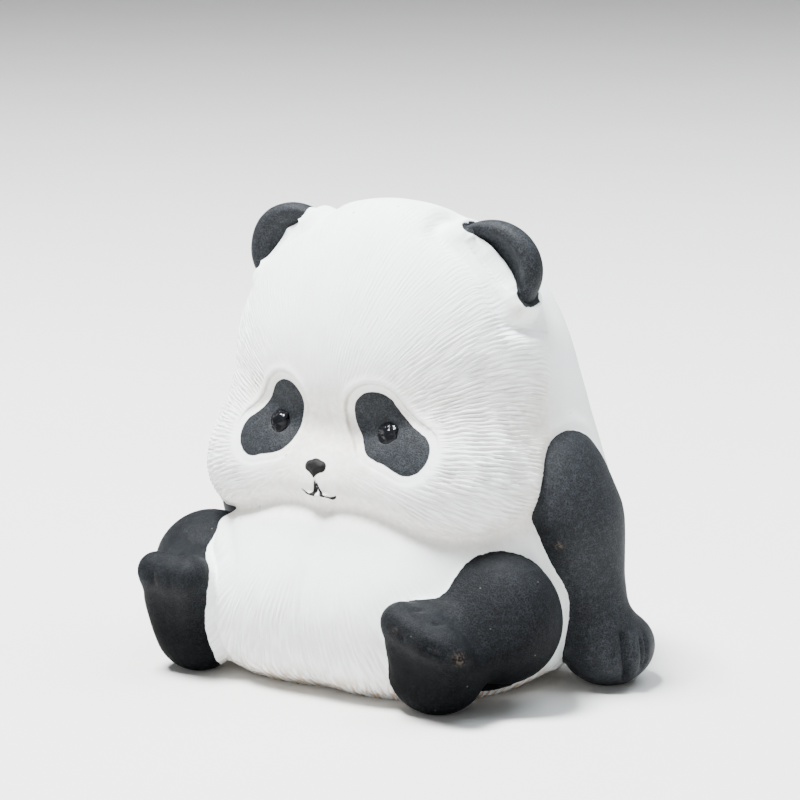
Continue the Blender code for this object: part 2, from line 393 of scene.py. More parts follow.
@dataclass(frozen=True)
class Leg:
    """A leg stretched forwards, with toes above a leaning sole."""

    thigh: Lump = Lump((19.9, -14.2, 9.7), (6.8, 6.4, 7.3))
    shin: Roll = Roll((17.6, -15.2, 10.2), 6.0, (17.0, -20.8, 7.4), 5.0)
    foot: Lump = Lump((16.3, -22.8, 8.4), (5.5, 4.6, 4.7))
    heel: Lump = Lump((15.8, -21.6, 3.8), (5.3, 3.7, 3.8))
    ball: Roll = Roll((13.4, -24.9, 10.7), 1.9, (19.9, -24.4, 10.7), 1.9)
    limb_fillet: float = 2.0
    sole_at: Span = (-26.3, 8.0)
    sole_slope: float = 14.0
    sole_fillet: float = 0.7
    ball_fillet: float = 1.2
    toe_size: Place = (1.9, 1.8, 1.7)
    toe_fillet: float = 1.6
    toes: tuple[Place, ...] = ((13.8, -25.0, 10.9), (16.6, -25.2, 11.0), (19.4, -24.8, 11.0))
    middle: tuple[Place, Place] = ((19.4, -13.6, 9.2), (16.8, -21.8, 7.8))
    foot_starts: Span = (16.0, 22.0)
    foot_rises: Span = (3.0, 9.0)
    right_tuck: float = -0.6
    right_lift: float = 1.1
    right_narrowing: float = 0.12
    right_outer_x: float = 22.0
    left_roll: float = 0.42
    left_roll_from: float = 13.5
    spread: float = 0.0
    segments: int = 96
    rings: int = 72
    fine_towards: Place = (0.0, 0.0, 1.0)
    crease_from: Span = (-27.4, 10.4)
    crease_to: Span = (-24.2, 13.4)
    crease_slant: float = 0.3
    crease: Ridge = Ridge(-0.28, 0.0, 0.40)
    nail: Dots = ((18.5, 11.0, 0.4), (20.2, 11.3, 0.4))
    nail_edge: Ridge = Ridge(-0.26, 0.0, 0.25)
    nail_ahead_of: float = -25.0

    def side(self, points: Array) -> Array:
        """Fold the right leg onto the left one.

        The right foot is narrower and its toes are higher. The left foot rolls outwards, so its
        outer toes are lower.

        Args:
            points: Points, one a row.

        Returns:
            The folded points, with the feet's differences taken out.
        """
        side = folded(points, self.right_tuck)
        foot = ramp(-points[:, 1], *self.foot_starts)
        rise = foot * ramp(points[:, 2], *self.foot_rises)
        right = points[:, 0] < 0
        outwards = np.maximum(side[:, 0] - self.left_roll_from, 0.0)
        side[:, 2] += rise * np.where(right, -self.right_lift, self.left_roll * outwards)
        side[:, 0] -= self.right_narrowing * right * foot * (self.right_outer_x - side[:, 0])
        return side

    def depth(self, points: Array) -> Array:
        """Distance to both legs: lumps pressed together, cut by the sole, with toes pressed on.

        Args:
            points: Points, one a row.

        Returns:
            Distance at each point, below 0 inside.
        """
        side = self.side(points)
        limb = pressed(self.thigh.depth(side), self.shin.depth(side), self.limb_fillet)
        foot = pressed(self.foot.depth(side), self.heel.depth(side), self.limb_fillet)
        slant = math.radians(self.sole_slope)
        ahead = (self.sole_at[0] - side[:, 1]) * math.cos(slant)
        ahead += (self.sole_at[1] - side[:, 2]) * math.sin(slant)
        clay = -pressed(-pressed(limb, foot, self.limb_fillet), -ahead, self.sole_fillet)
        clay = pressed(clay, self.ball.depth(side), self.ball_fillet)
        for toe in self.toes:
            clay = pressed(clay, Lump(toe, self.toe_size).depth(side), self.toe_fillet)
        return clay

    def relief(self, points: Array) -> Array:
        """Creases between the toes, and a nail pressed in the outer one.

        Args:
            points: Points on the plain clay.

        Returns:
            Height at each point.
        """
        side = self.side(points)
        out = self.nail_edge.over(brush(self.nail)(side[:, [0, 2]]))
        out *= side[:, 1] < self.nail_ahead_of
        for low, high in zip(self.toes, self.toes[1:]):
            x = (low[0] + high[0]) / 2
            line = Roll((x, *self.crease_from), 0.0, (x + self.crease_slant, *self.crease_to), 0.0)
            out += self.crease.over(line.depth(side))
        return out


@dataclass(frozen=True)
class Ear:
    """A thick round leaf of clay with a bowl pressed into its front."""

    leaf: Lump = Lump((13.6, -6.2, 47.3), (6.0, 4.5, 5.5))
    half_thickness: float = 1.5
    leaf_fillet: float = 1.0
    bowl: Lump = Lump((12.2, -8.2, 46.5), (6.2, 2.2, 5.5))
    bowl_fillet: float = 0.2
    middle: tuple[Place, Place] = ((13.7, -5.2, 47.4), (13.7, -5.5, 47.4))
    right_tuck: float = 0.0
    spread: float = 4.0
    segments: int = 88
    rings: int = 52
    fine_towards: Place = (0.8, 0.0, 0.6)

    def depth(self, points: Array) -> Array:
        """Distance to both ears: the leaf between two flat faces, less the bowl, rims rounded.

        Args:
            points: Points, one a row.

        Returns:
            Distance at each point, below 0 inside.
        """
        side = folded(points, self.right_tuck)
        faces = np.abs(side[:, 1] - self.leaf.middle[1]) - self.half_thickness
        disc = -pressed(-self.leaf.depth(side), -faces, self.leaf_fillet)
        return -pressed(-disc, self.bowl.depth(side), self.bowl_fillet)

    def relief(self, points: Array) -> Array:
        """Ears have no scored lines."""
        return np.zeros(len(points))


Limb = Arm | Leg | Ear


@dataclass(frozen=True)
class Fur:
    """Strokes combed outwards from the face, as bands of ridges that run into each other.

    Args:
        pitch: From one ridge to the next.
        height: Half the height of a strong ridge.
        band: From the middle of one band of strokes to the next.
        wander: How far a ridge strays sideways, in pitches.
        ragged: How far the strokes' ends stray along them.
        furthest: How far the bands go from the middle of the face.
        fewest: The fewest ridges in a band.
        girth_radius: Radius that gives a band's girth.
        head_radius: Radius that makes a distance along the head an angle.
        cell: Size of the noise, in pitches across and units along.
        layer: How far apart the noise of two bands is.
        end_seed: Seed of the ends, before the band's number is added.
        stray_seed: Seed of the straying, likewise.
        forehead: Strength where the fur is faintest.
        temples: What the temples and cheeks add to it.
        temples_turn: Degrees from the top of the head over which that comes.
        temples_start: Distances from the middle of the face over which it comes.
        off_patch: Distances from a patch over which the fur comes.
        off_muzzle: The same from the middle of the face.
        off_body: The same from the seam under the chin.
        off_ear: The same from an ear.
        head_ends: Places along y over which the head's fur ends.
        hem: Strength along the bottom edge.
        hem_top: Heights over which the hem's fur ends.
        hem_ends: Places along y over which it ends.
    """

    pitch: float = 0.50
    height: float = 0.088
    band: float = 2.1
    wander: float = 0.7
    ragged: float = 1.6
    furthest: float = 44.0
    fewest: int = 8
    girth_radius: float = 24.5
    head_radius: float = 21.0
    cell: Span = (1.6, 1.9)
    layer: float = 3.7
    end_seed: int = 11
    stray_seed: int = 71
    forehead: float = 0.22
    temples: float = 0.78
    temples_turn: Span = (28.0, 66.0)
    temples_start: Span = (8.0, 14.0)
    off_patch: Span = (1.2, 2.2)
    off_muzzle: Span = (3.4, 6.0)
    off_body: Span = (-0.3, 1.4)
    off_ear: Span = (0.8, 3.0)
    head_ends: Span = (-7.5, -3.2)
    hem: float = 0.85
    hem_top: Span = (5.0, 16.0)
    hem_ends: Span = (-16.0, -9.0)

    def strokes(self, turn: Array, along: Array) -> Array:
        """Add up cos(2 pi (count * turn + wander)) in each band, under a cosine window.

        Args:
            turn: Share of the way round the face, 0 to 1, spread by arc length.
            along: Distance from the middle of the face.

        Returns:
            Height between -1 and 1.
        """
        total = np.zeros(len(turn))
        for number in range(1, int(self.furthest / self.band)):
            place = number * self.band
            girth = 2 * math.pi * self.girth_radius * math.sin(place / self.head_radius)
            count = max(round(girth / self.pitch), self.fewest)
            across = turn * count
            layer = np.full(len(turn), number * self.layer)
            where = np.stack([across / self.cell[0], along / self.cell[1], layer], axis=1)
            ends = Grain(self.end_seed + number, count + 2).at(where * (1, 0, 1), 1.0)
            off = along - (place + self.ragged * ends)
            window = np.cos(np.pi / 2 * np.clip(off / self.band, -1, 1)) ** 2
            stray = self.wander * Grain(self.stray_seed + number).at(where * (0.5, 1, 1), 1.0)
            total += window * np.cos(2 * math.pi * (across + stray))
        return total


@dataclass(frozen=True)
class Face:
    """Eye patches, nose and mouth, drawn on the face in (x, z), each dot with its radius."""

    left_patch: Dots = ((5.8, 31.65, 2.8), (7.2, 29.9, 2.45), (10.9, 28.1, 2.3))
    right_patch: Dots = ((6.3, 32.2, 2.45), (7.3, 29.4, 2.6), (9.9, 28.1, 2.3))
    patch_softness: float = 1.2
    left_eye: Span = (7.5, 30.1)
    right_eye: Span = (-7.0, 29.9)
    nose: Dots = ((-1.15, 25.85, 0.6), (-0.35, 25.85, 0.76), (0.5, 25.85, 0.62))
    nose_tip: Dots = ((-0.35, 25.5, 0.66), (-0.3, 24.7, 0.1))
    nose_softness: float = 0.4
    wedge: Dots = ((-0.15, 24.2, 0.1), (-0.1, 23.3, 0.3), (-0.2, 22.9, 0.3))
    mouth_right: Dots = (
        (-0.2, 22.75, 0.26), (-0.85, 22.6, 0.2), (-1.6, 22.75, 0.15), (-2.2, 23.1, 0.08),
    )
    mouth_left: Dots = (
        (0.1, 24.0, 0.12), (0.45, 23.2, 0.15), (0.85, 22.75, 0.16), (1.35, 22.5, 0.18),
        (1.75, 22.4, 0.2), (2.1, 22.5, 0.15), (2.4, 22.75, 0.08),
    )
    far: float = 50.0
    droop: float = 0.25

    def behind(self, points: Array) -> Array:
        """A distance that takes the back of the head off every mark of the face."""
        return self.far * (points[:, 1] > 0)

    def level(self, points: Array) -> Array:
        """Height on the face, which droops a little to the sides."""
        return points[:, 2] - self.droop * np.abs(points[:, 0])

    def patch(self, points: Array) -> Array:
        """Distance on the face to the edge of the nearer eye patch.

        Args:
            points: Points, one a row.

        Returns:
            Distance at each point, below 0 on the patch.
        """
        flat = folded(points)[:, [0, 2]]
        left = brush(self.left_patch, self.patch_softness)(flat)
        right = brush(self.right_patch, self.patch_softness)(flat)
        return np.where(points[:, 0] > 0, left, right) + self.behind(points)

    def eye(self, points: Array) -> Array:
        """Distance on the face from the middle of the nearer eye.

        Args:
            points: Points, one a row.

        Returns:
            Distance at each point.
        """
        flat = points[:, [0, 2]]
        left = np.linalg.norm(flat - self.left_eye, axis=1)
        right = np.linalg.norm(flat - self.right_eye, axis=1)
        return np.minimum(left, right) + self.behind(points)

    def mouth(self, points: Array) -> Array:
        """Distance on the face to the edge of the painted mouth.

        Args:
            points: Points, one a row.

        Returns:
            Distance at each point, below 0 on the line.
        """
        flat = points[:, [0, 2]]
        marks = [brush(line)(flat) for line in (self.wedge, self.mouth_left, self.mouth_right)]
        return np.minimum.reduce(marks) + self.behind(points)

    def nose_edge(self, points: Array) -> Array:
        """Distance on the face to the edge of the nose.

        Args:
            points: Points, one a row.

        Returns:
            Distance at each point, below 0 on the nose.
        """
        flat = points[:, [0, 2]]
        top = brush(self.nose, self.nose_softness)(flat)
        nose = pressed(top, brush(self.nose_tip)(flat), self.nose_softness)
        return nose + self.behind(points)


@dataclass(frozen=True)
class Torso:
    """Head and body, laid out on a polar grid whose pole is the middle of the face.

    A Span is where something starts and ends, along y for "fades" and along z for "rises"
    unless its name says otherwise. Each zone of the grid is given by its number of columns,
    its outer end and the distance between its rings.
    """

    arm: Arm = field(default_factory=Arm)
    leg: Leg = field(default_factory=Leg)
    ear: Ear = field(default_factory=Ear)
    face: Face = field(default_factory=Face)
    fur: Fur = field(default_factory=Fur)
    back: Lump = Lump((0, -0.5, 15.3), (23.9, 20.6, 20.2))
    shoulders: Lump = Lump((0, -2.5, 26.4), (20.7, 16.8, 23.4))
    back_fillet: float = 6.0
    belly: Lump = Lump((0, -8.0, 8.9), (18.0, 17.0, 12.8))
    hip: Lump = Lump((9.2, -7.5, 7.8), (12.6, 15.0, 11.6))
    hip_fillet: float = 8.0
    belly_fillet: float = 4.0
    skull: Lump = Lump((0, -6.1, 36.0), (20.1, 12.6, 18.2))
    brow: Lump = Lump((0, -6.5, 36.6), (15.5, 12.7, 12.0))
    brow_fillet: float = 3.0
    muzzle: Lump = Lump((0, -9.4, 23.6), (13.5, 12.4, 8.1))
    cheek: Lump = Lump((10.6, -8.9, 23.6), (11.1, 11.7, 9.3))
    cheek_fillet: float = 4.0
    face_fillet: float = 6.0
    lip: Lump = Lump((0.1, -21.3, 22.7), (1.7, 0.75, 0.25))
    lip_fillet: float = 0.35
    chin_fillet: float = 0.5
    nape_fillet_more: float = 7.7
    nape_fades: Span = (-6.0, 3.0)
    chin_crease: Ridge = Ridge(-0.85, 0.0, 0.8)
    chin_crease_fades: Span = (-12.0, -4.0)
    undercut: float = 1.1
    undercut_rises: Span = (-0.5, 2.4)
    waist: Place = (-19.6, -11.6, 18.2)
    waist_depth: float = 3.0
    waist_width: float = 4.0
    left_side_x: Span = (-4.0, 4.0)
    welt: Ridge = Ridge(0.45, 1.0, 0.9)
    welt_fades: Span = (-2.0, 3.0)
    rim: tuple[Ridge, Ridge] = (Ridge(0.5, 1.1, 0.8), Ridge(-0.25, 2.8, 0.8))
    rim_rises: Span = (1.0, 5.0)
    rim_fades: Span = (-18.0, -14.0)
    dish_depth: float = 0.40
    dish_edge: Span = (0.72, 1.02)
    dish_shallow: float = 0.25
    dish_rises: Span = (25.5, 30.0)
    dish_ring: Ridge = Ridge(0.12, 1.3, 0.4)
    patch_groove: Ridge = Ridge(-0.06, 0.0, 0.25)
    ear_fold: tuple[Ridge, Ridge] = (Ridge(0.6, 0.6, 0.6), Ridge(-1.0, 2.5, 1.0))
    ear_fold_ahead_of: float = -4.0
    socket_depth: float = 1.0
    socket_edge: Span = (0.5, 1.22)
    nose_height: float = 0.32
    nose_edge: Span = (-0.6, 0.02)
    mouth_depth: float = 0.16
    mouth_edge: Span = (-0.12, 0.12)
    prints: tuple[tuple[int, float, float], ...] = ((5, 0.10, 5.5), (6, 0.03, 1.9))
    middle: Place = (0.0, -2.0, 22.0)
    pole_lift: float = 15.5
    pole_radius: float = 21.0
    girth_swell: Span = (5.0, 1.25)
    zones: tuple[tuple[int, float, float], ...] = (
        (270, 6.0, 0.17), (540, 13.0, 0.27), (1080, 34.0, 0.50), (540, 48.0, 1.0), (270, 65.0, 1.5),
    )

    def body(self, points: Array) -> Array:
        """Distance to the body without the head, with the notch at its right waist.

        Args:
            points: Points, one a row.

        Returns:
            Distance at each point, below 0 inside.
        """
        hips = self.hip.depth(folded(points))
        bottom = pressed(self.belly.depth(points), hips, self.hip_fillet)
        top = pressed(self.back.depth(points), self.shoulders.depth(points), self.back_fillet)
        notch = self.waist_depth * spot(points, self.waist, self.waist_width)
        return pressed(top, bottom, self.belly_fillet) + notch

    def head(self, points: Array) -> Array:
        """Distance to the head without the body.

        Args:
            points: Points, one a row.

        Returns:
            Distance at each point, below 0 inside.
        """
        cheeks = self.cheek.depth(folded(points))
        face = pressed(self.muzzle.depth(points), cheeks, self.cheek_fillet)
        head = pressed(self.skull.depth(points), face, self.face_fillet)
        return pressed(head, self.brow.depth(points), self.brow_fillet)

    def depth(self, points: Array) -> Array:
        """Distance to head and body.

        The crease under the chin and the drawn-in bottom edge take clay away. The welt
        beside the left arm and the rim beside the right leg add some.

        Args:
            points: Points, one a row.

        Returns:
            Distance at each point, below 0 inside.
        """
        x, y, z = points.T
        body, head = self.body(points), self.head(points)
        fillet = self.chin_fillet + self.nape_fillet_more * ramp(y, *self.nape_fades)
        clay = pressed(body, head, fillet)
        clay = clay - self.chin_crease.over(body - head) * fade(y, *self.chin_crease_fades)
        clay = pressed(clay, self.lip.depth(points), self.lip_fillet)
        clay = clay + self.undercut * fade(z, *self.undercut_rises)
        on_left = ramp(x, *self.left_side_x)
        welt = self.welt.over(self.arm.depth(points)) * fade(y, *self.welt_fades) * on_left
        leg = self.leg.depth(points)
        rim = sum(ridge.over(leg) for ridge in self.rim) * (1 - on_left)
        rim *= ramp(z, *self.rim_rises) * fade(y, *self.rim_fades)
        return clay - welt - rim

    def axes(self) -> tuple[Array, Array, Array]:
        """The grid's own axes.

        Returns:
            Directions towards the pole, up the forehead, and to the figure's left.
        """
        lift = math.radians(self.pole_lift)
        pole = np.array([0.0, -math.cos(lift), math.sin(lift)])
        up = np.array([0.0, math.sin(lift), math.cos(lift)])
        return pole, up, np.array([1.0, 0.0, 0.0])

    def girth_share(self, angle: Array) -> Array:
        """Share of the way round the head, (a + (p sin a + q sin 2a) / radius) / 2 pi.

        Args:
            angle: Angles a from the top of the head.

        Returns:
            The share at each angle, by arc length.
        """
        once, twice = self.girth_swell
        swell = (once * np.sin(angle) + twice * np.sin(2 * angle)) / self.fur.girth_radius
        return (angle + swell) / (2 * math.pi)

    def polar(self, points: Array) -> tuple[Array, Array]:
        """Place of each point on the head.

        Args:
            points: Points, one a row.

        Returns:
            Angle from the top round the pole, and distance from the pole along the surface.
        """
        pole, up, left = self.axes()
        offset = points - np.array(self.middle)
        away = np.arccos(np.clip(offset @ pole / np.linalg.norm(offset, axis=1), -1, 1))
        return np.arctan2(offset @ left, offset @ up), away * self.pole_radius

    def combed(self, points: Array) -> Array:
        """How strongly the clay is combed, 0 to 1.

        It is strongest on the temples and cheeks, faint on the forehead and the lower
        belly, and nothing on the patches, the muzzle, the back and beside the ears.

        Args:
            points: Points on the clay.

        Returns:
            Strength at each point.
        """
        fur, (_, y, z) = self.fur, points.T
        angle, along = self.polar(points)
        around = np.degrees(np.abs(angle))
        on_head = ramp(self.body(points) - self.head(points), *fur.off_body)
        temples = ramp(around, *fur.temples_turn) * ramp(along, *fur.temples_start)
        strength = (fur.forehead + fur.temples * temples) * on_head
        strength *= ramp(self.face.patch(points), *fur.off_patch) * ramp(along, *fur.off_muzzle)
        strength *= fade(y, *fur.head_ends) * ramp(self.ear.depth(points), *fur.off_ear)
        hem = fur.hem * fade(z, *fur.hem_top) * (1 - on_head)
        return strength + hem * fade(y, *fur.hem_ends)

    def relief(self, points: Array) -> Array:
        """Height of the modelled detail above the plain clay.

        It is the sum of the fur strokes, the smooth dish round each eye patch with its
        step, the folds beside the ears, the sockets, the nose, the scored mouth and the
        unevenness left by fingers.

        Args:
            points: Points on the plain clay.

        Returns:
            Height at each point.
        """
        angle, along = self.polar(points)
        turn = self.girth_share(angle) % 1.0
        out = self.fur.height * self.combed(points) * self.fur.strokes(turn, along)
        patch = self.face.patch(points)
        step = ramp(self.face.level(points), *self.dish_rises)
        step = self.dish_shallow + (1 - self.dish_shallow) * step
        out += step * (self.dish_ring.over(patch) - self.dish_depth * fade(patch, *self.dish_edge))
        out += self.patch_groove.over(patch)
        ear = self.ear.depth(points)
        fold = sum(ridge.over(ear) for ridge in self.ear_fold)
        out += fold * (points[:, 1] < self.ear_fold_ahead_of)
        out -= self.socket_depth * fade(self.face.eye(points), *self.socket_edge)
        out += self.nose_height * fade(self.face.nose_edge(points), *self.nose_edge)
        out -= self.mouth_depth * fade(self.face.mouth(points), *self.mouth_edge)
        return out + kneaded(points, self.prints)


def reach(depth: Callable[[Array], Array], starts: Array, ways: Array, furthest: float) -> Array:
    """Find where rays leave the clay, halving the stretch that holds the surface.

    Args:
        depth: Distance to the clay.
        starts: Where each ray starts, inside the clay.
        ways: The rays' directions, of length 1.
        furthest: Length that is surely outside.

    Returns:
        Length of each ray up to the surface.
    """
    low, high = np.zeros(len(ways)), np.full(len(ways), furthest)
    halvings = 17
    for _ in range(halvings):
        half = (low + high) / 2
        inside = depth(starts + ways * half[:, None]) < 0
        low, high = np.where(inside, half, low), np.where(inside, high, half)
    return (low + high) / 2


def slope(depth: Callable[[Array], Array], points: Array) -> Array:
    """Gradient of a distance by central differences of a hundredth of a unit.

    Args:
        depth: The distance.
        points: Points, one a row.

    Returns:
        The gradient at each point, one a row.
    """
    step = 0.01
    out = np.empty_like(points)
    for axis in range(3):
        shift = np.zeros(3)
        shift[axis] = step
        out[:, axis] = (depth(points + shift) - depth(points - shift)) / (2 * step)
    return out


def outward_ways(depth: Callable[[Array], Array], points: Array) -> Array:
    """Directions of length 1 out of the clay, from the slope of its distance."""
    lean = slope(depth, points)
    return lean / np.linalg.norm(lean, axis=1, keepdims=True)


def band_faces(first: int, count: int, second: int, other: int) -> list[tuple[int, ...]]:
    """Faces between two closed rings of which one may have twice the points of the other.

    Args:
        first: Number of the inner ring's first point.
        count: Points in the inner ring.
        second: Number of the outer ring's first point.
        other: Points in the outer ring.

    Returns:
        Squares, or three triangles for each point of the ring with fewer points.
    """
    small = min(count, other)
    near = np.arange(small)
    after = (near + 1) % small
    if count == other:
        table = np.stack([first + near, first + after, second + after, second + near], axis=1)
        return table.tolist()
    low, lone, thin = (first, second, 1) if count < other else (second, first, -1)
    even, odd, last = 2 * near, 2 * near + 1, (2 * near + 2) % (2 * small)
    parts = (
        (low + near, lone + odd, lone + even),
        (low + near, low + after, lone + odd),
        (low + after, lone + last, lone + odd),
    )
    table = np.concatenate([np.stack(part, axis=1)[:, ::thin] for part in parts])
    return table.tolist()


def ball_faces(counts: list[int]) -> list[tuple[int, ...]]:
    """Faces of a closed surface of rings with a point at each pole.

    Args:
        counts: Points in each ring, from the first pole to the last.

    Returns:
        All faces, with the poles numbered after the rings.
    """
    starts = np.concatenate([[0], np.cumsum(counts)]).tolist()
    faces: list = []
    for ring, (count, other) in enumerate(zip(counts, counts[1:])):
        faces += band_faces(starts[ring], count, starts[ring + 1], other)
    near, far = starts[-1], starts[-1] + 1
    for pole, start, count, way in ((near, 0, counts[0], 1), (far, starts[-2], counts[-1], -1)):
        ring = np.arange(count)
        cap = np.stack([start + (ring + 1) % count, start + ring, np.full(count, pole)], axis=1)
        faces += cap[:, ::way].tolist()
    return faces


def mesh_object(name: str, points: Array, faces: list) -> Piece:
    """Put a surface into a mesh.

    Args:
        name: Name of the piece.
        points: Its points in clay units.
        faces: The numbers of each face's points.

    Returns:
        The new object, at the origin.
    """
    mesh = bpy.data.meshes.new(name)
    mesh.from_pydata((points * UNIT).tolist(), [], faces)
    mesh.update()
    made = bpy.data.objects.new(name, mesh)
    bpy.context.scene.collection.objects.link(made)
    return made


def mesh_points(made: Piece) -> Array:
    """Read the points of a piece.

    Args:
        made: The piece.

    Returns:
        Its points in clay units, one a row.
    """
    flat = np.empty(len(made.data.vertices) * 3)
    made.data.vertices.foreach_get("co", flat)
    return flat.reshape(-1, 3) / UNIT


def put_points(made: Piece, points: Array) -> None:
    """Move the points of a piece to places in clay units."""
    made.data.vertices.foreach_set("co", (points * UNIT).ravel())
    made.data.update()


def put_attribute(made: Piece, name: str, values: Array) -> None:
    """Keep one number for each point of a piece, for its material to read."""
    kept = made.data.attributes.new(name, "FLOAT", "POINT")
    kept.data.foreach_set("value", values.astype(np.float32))


def ball_ways(segments: int, rings: int, fine_at: float = 0.0, crowding: float = 0.0) -> Array:
    """Directions of a ball's grid about z: ring by ring, then the two poles.

    Segments stand at t - crowding * sin(t - fine_at) round the ball, so they are
    closest at that angle. Rings stand at pi (1 - (1 - share)^(1 + 0.6 * crowding)), so
    with any crowding they are closer at the second pole.

    Args:
        segments: Points in each ring.
        rings: Rings between the poles.
        fine_at: Angle at which the segments are closest.
        crowding: How much closer they are there, 0 to 1.

    Returns:
        Directions of length 1, one a row.
    """
    ring_crowding = 0.6 * crowding
    share = np.linspace(0, 1, rings + 2)[1:-1, None]
    away = math.pi * (1 - (1 - share) ** (1 + ring_crowding))
    turn = (np.arange(segments) / segments * 2 * math.pi)[None, :]
    around = turn - crowding * np.sin(turn - fine_at)
    spread = np.sin(away)
    flat = np.stack(
        [spread * np.cos(around), -spread * np.sin(around), np.cos(away) + 0 * around], axis=-1
    )
    return np.vstack([flat.reshape(-1, 3), [[0, 0, 1]], [[0, 0, -1]]])


@dataclass(frozen=True)
class SlipEdge:
    """Where the brushed slip strays from the seam between limb and torso.

    Args:
        bare_inside: How far it stays back inside the right leg.
        bare_ahead_of: That part lies ahead of this place along y.
        bare_top: Heights over which it ends.
        under: How far the slip runs on under the left leg.
        under_x: Places along x over which that part comes.
        under_top: Heights over which it ends.
        ears: Spots on the ears: place, width and how far the slip runs on.
    """

    bare_inside: float = 1.4
    bare_ahead_of: float = -12.0
    bare_top: Span = (13.0, 16.0)
    under: float = 1.3
    under_x: Span = (15.0, 17.0)
    under_top: Span = (4.0, 9.0)
    ears: tuple[tuple[Place, float, float], ...] = (
        ((-10.2, -6.2, 51.7), 1.7, -2.4), ((17.9, -7.3, 43.4), 0.8, 1.2),
    )


@dataclass(frozen=True)
class StainAndShade:
    """Tan stain in a few spots, and tan shade painted along the chin crease and above each patch.

    Args:
        chin: Strength of the tan shade painted along the seam under the chin.
        chin_fades: Places along y over which that part ends.
        ring: Strength of the tan shadow painted above the step round each eye patch.
        ring_rises: Heights over which that part comes.
        spots: Spots: place, width and strength.
        face_spot: A spot on the face in (x, z), likewise.
        most: The greatest strength.
    """

    chin: Ridge = Ridge(1.0, 0.3, 1.3)
    chin_fades: Span = (-8.0, -2.0)
    ring: Ridge = Ridge(0.35, 1.2, 0.4)
    ring_rises: Span = (29.0, 33.0)
    spots: tuple[tuple[Place, float, float], ...] = (
        ((0.1, -21.4, 24.6), 0.6, 1.2), ((18.0, -8.5, 43.0), 0.9, 1.0),
    )
    face_spot: tuple[Span, float, float] = ((3.1, 25.0), 0.25, 1.2)
    most: float = 1.2


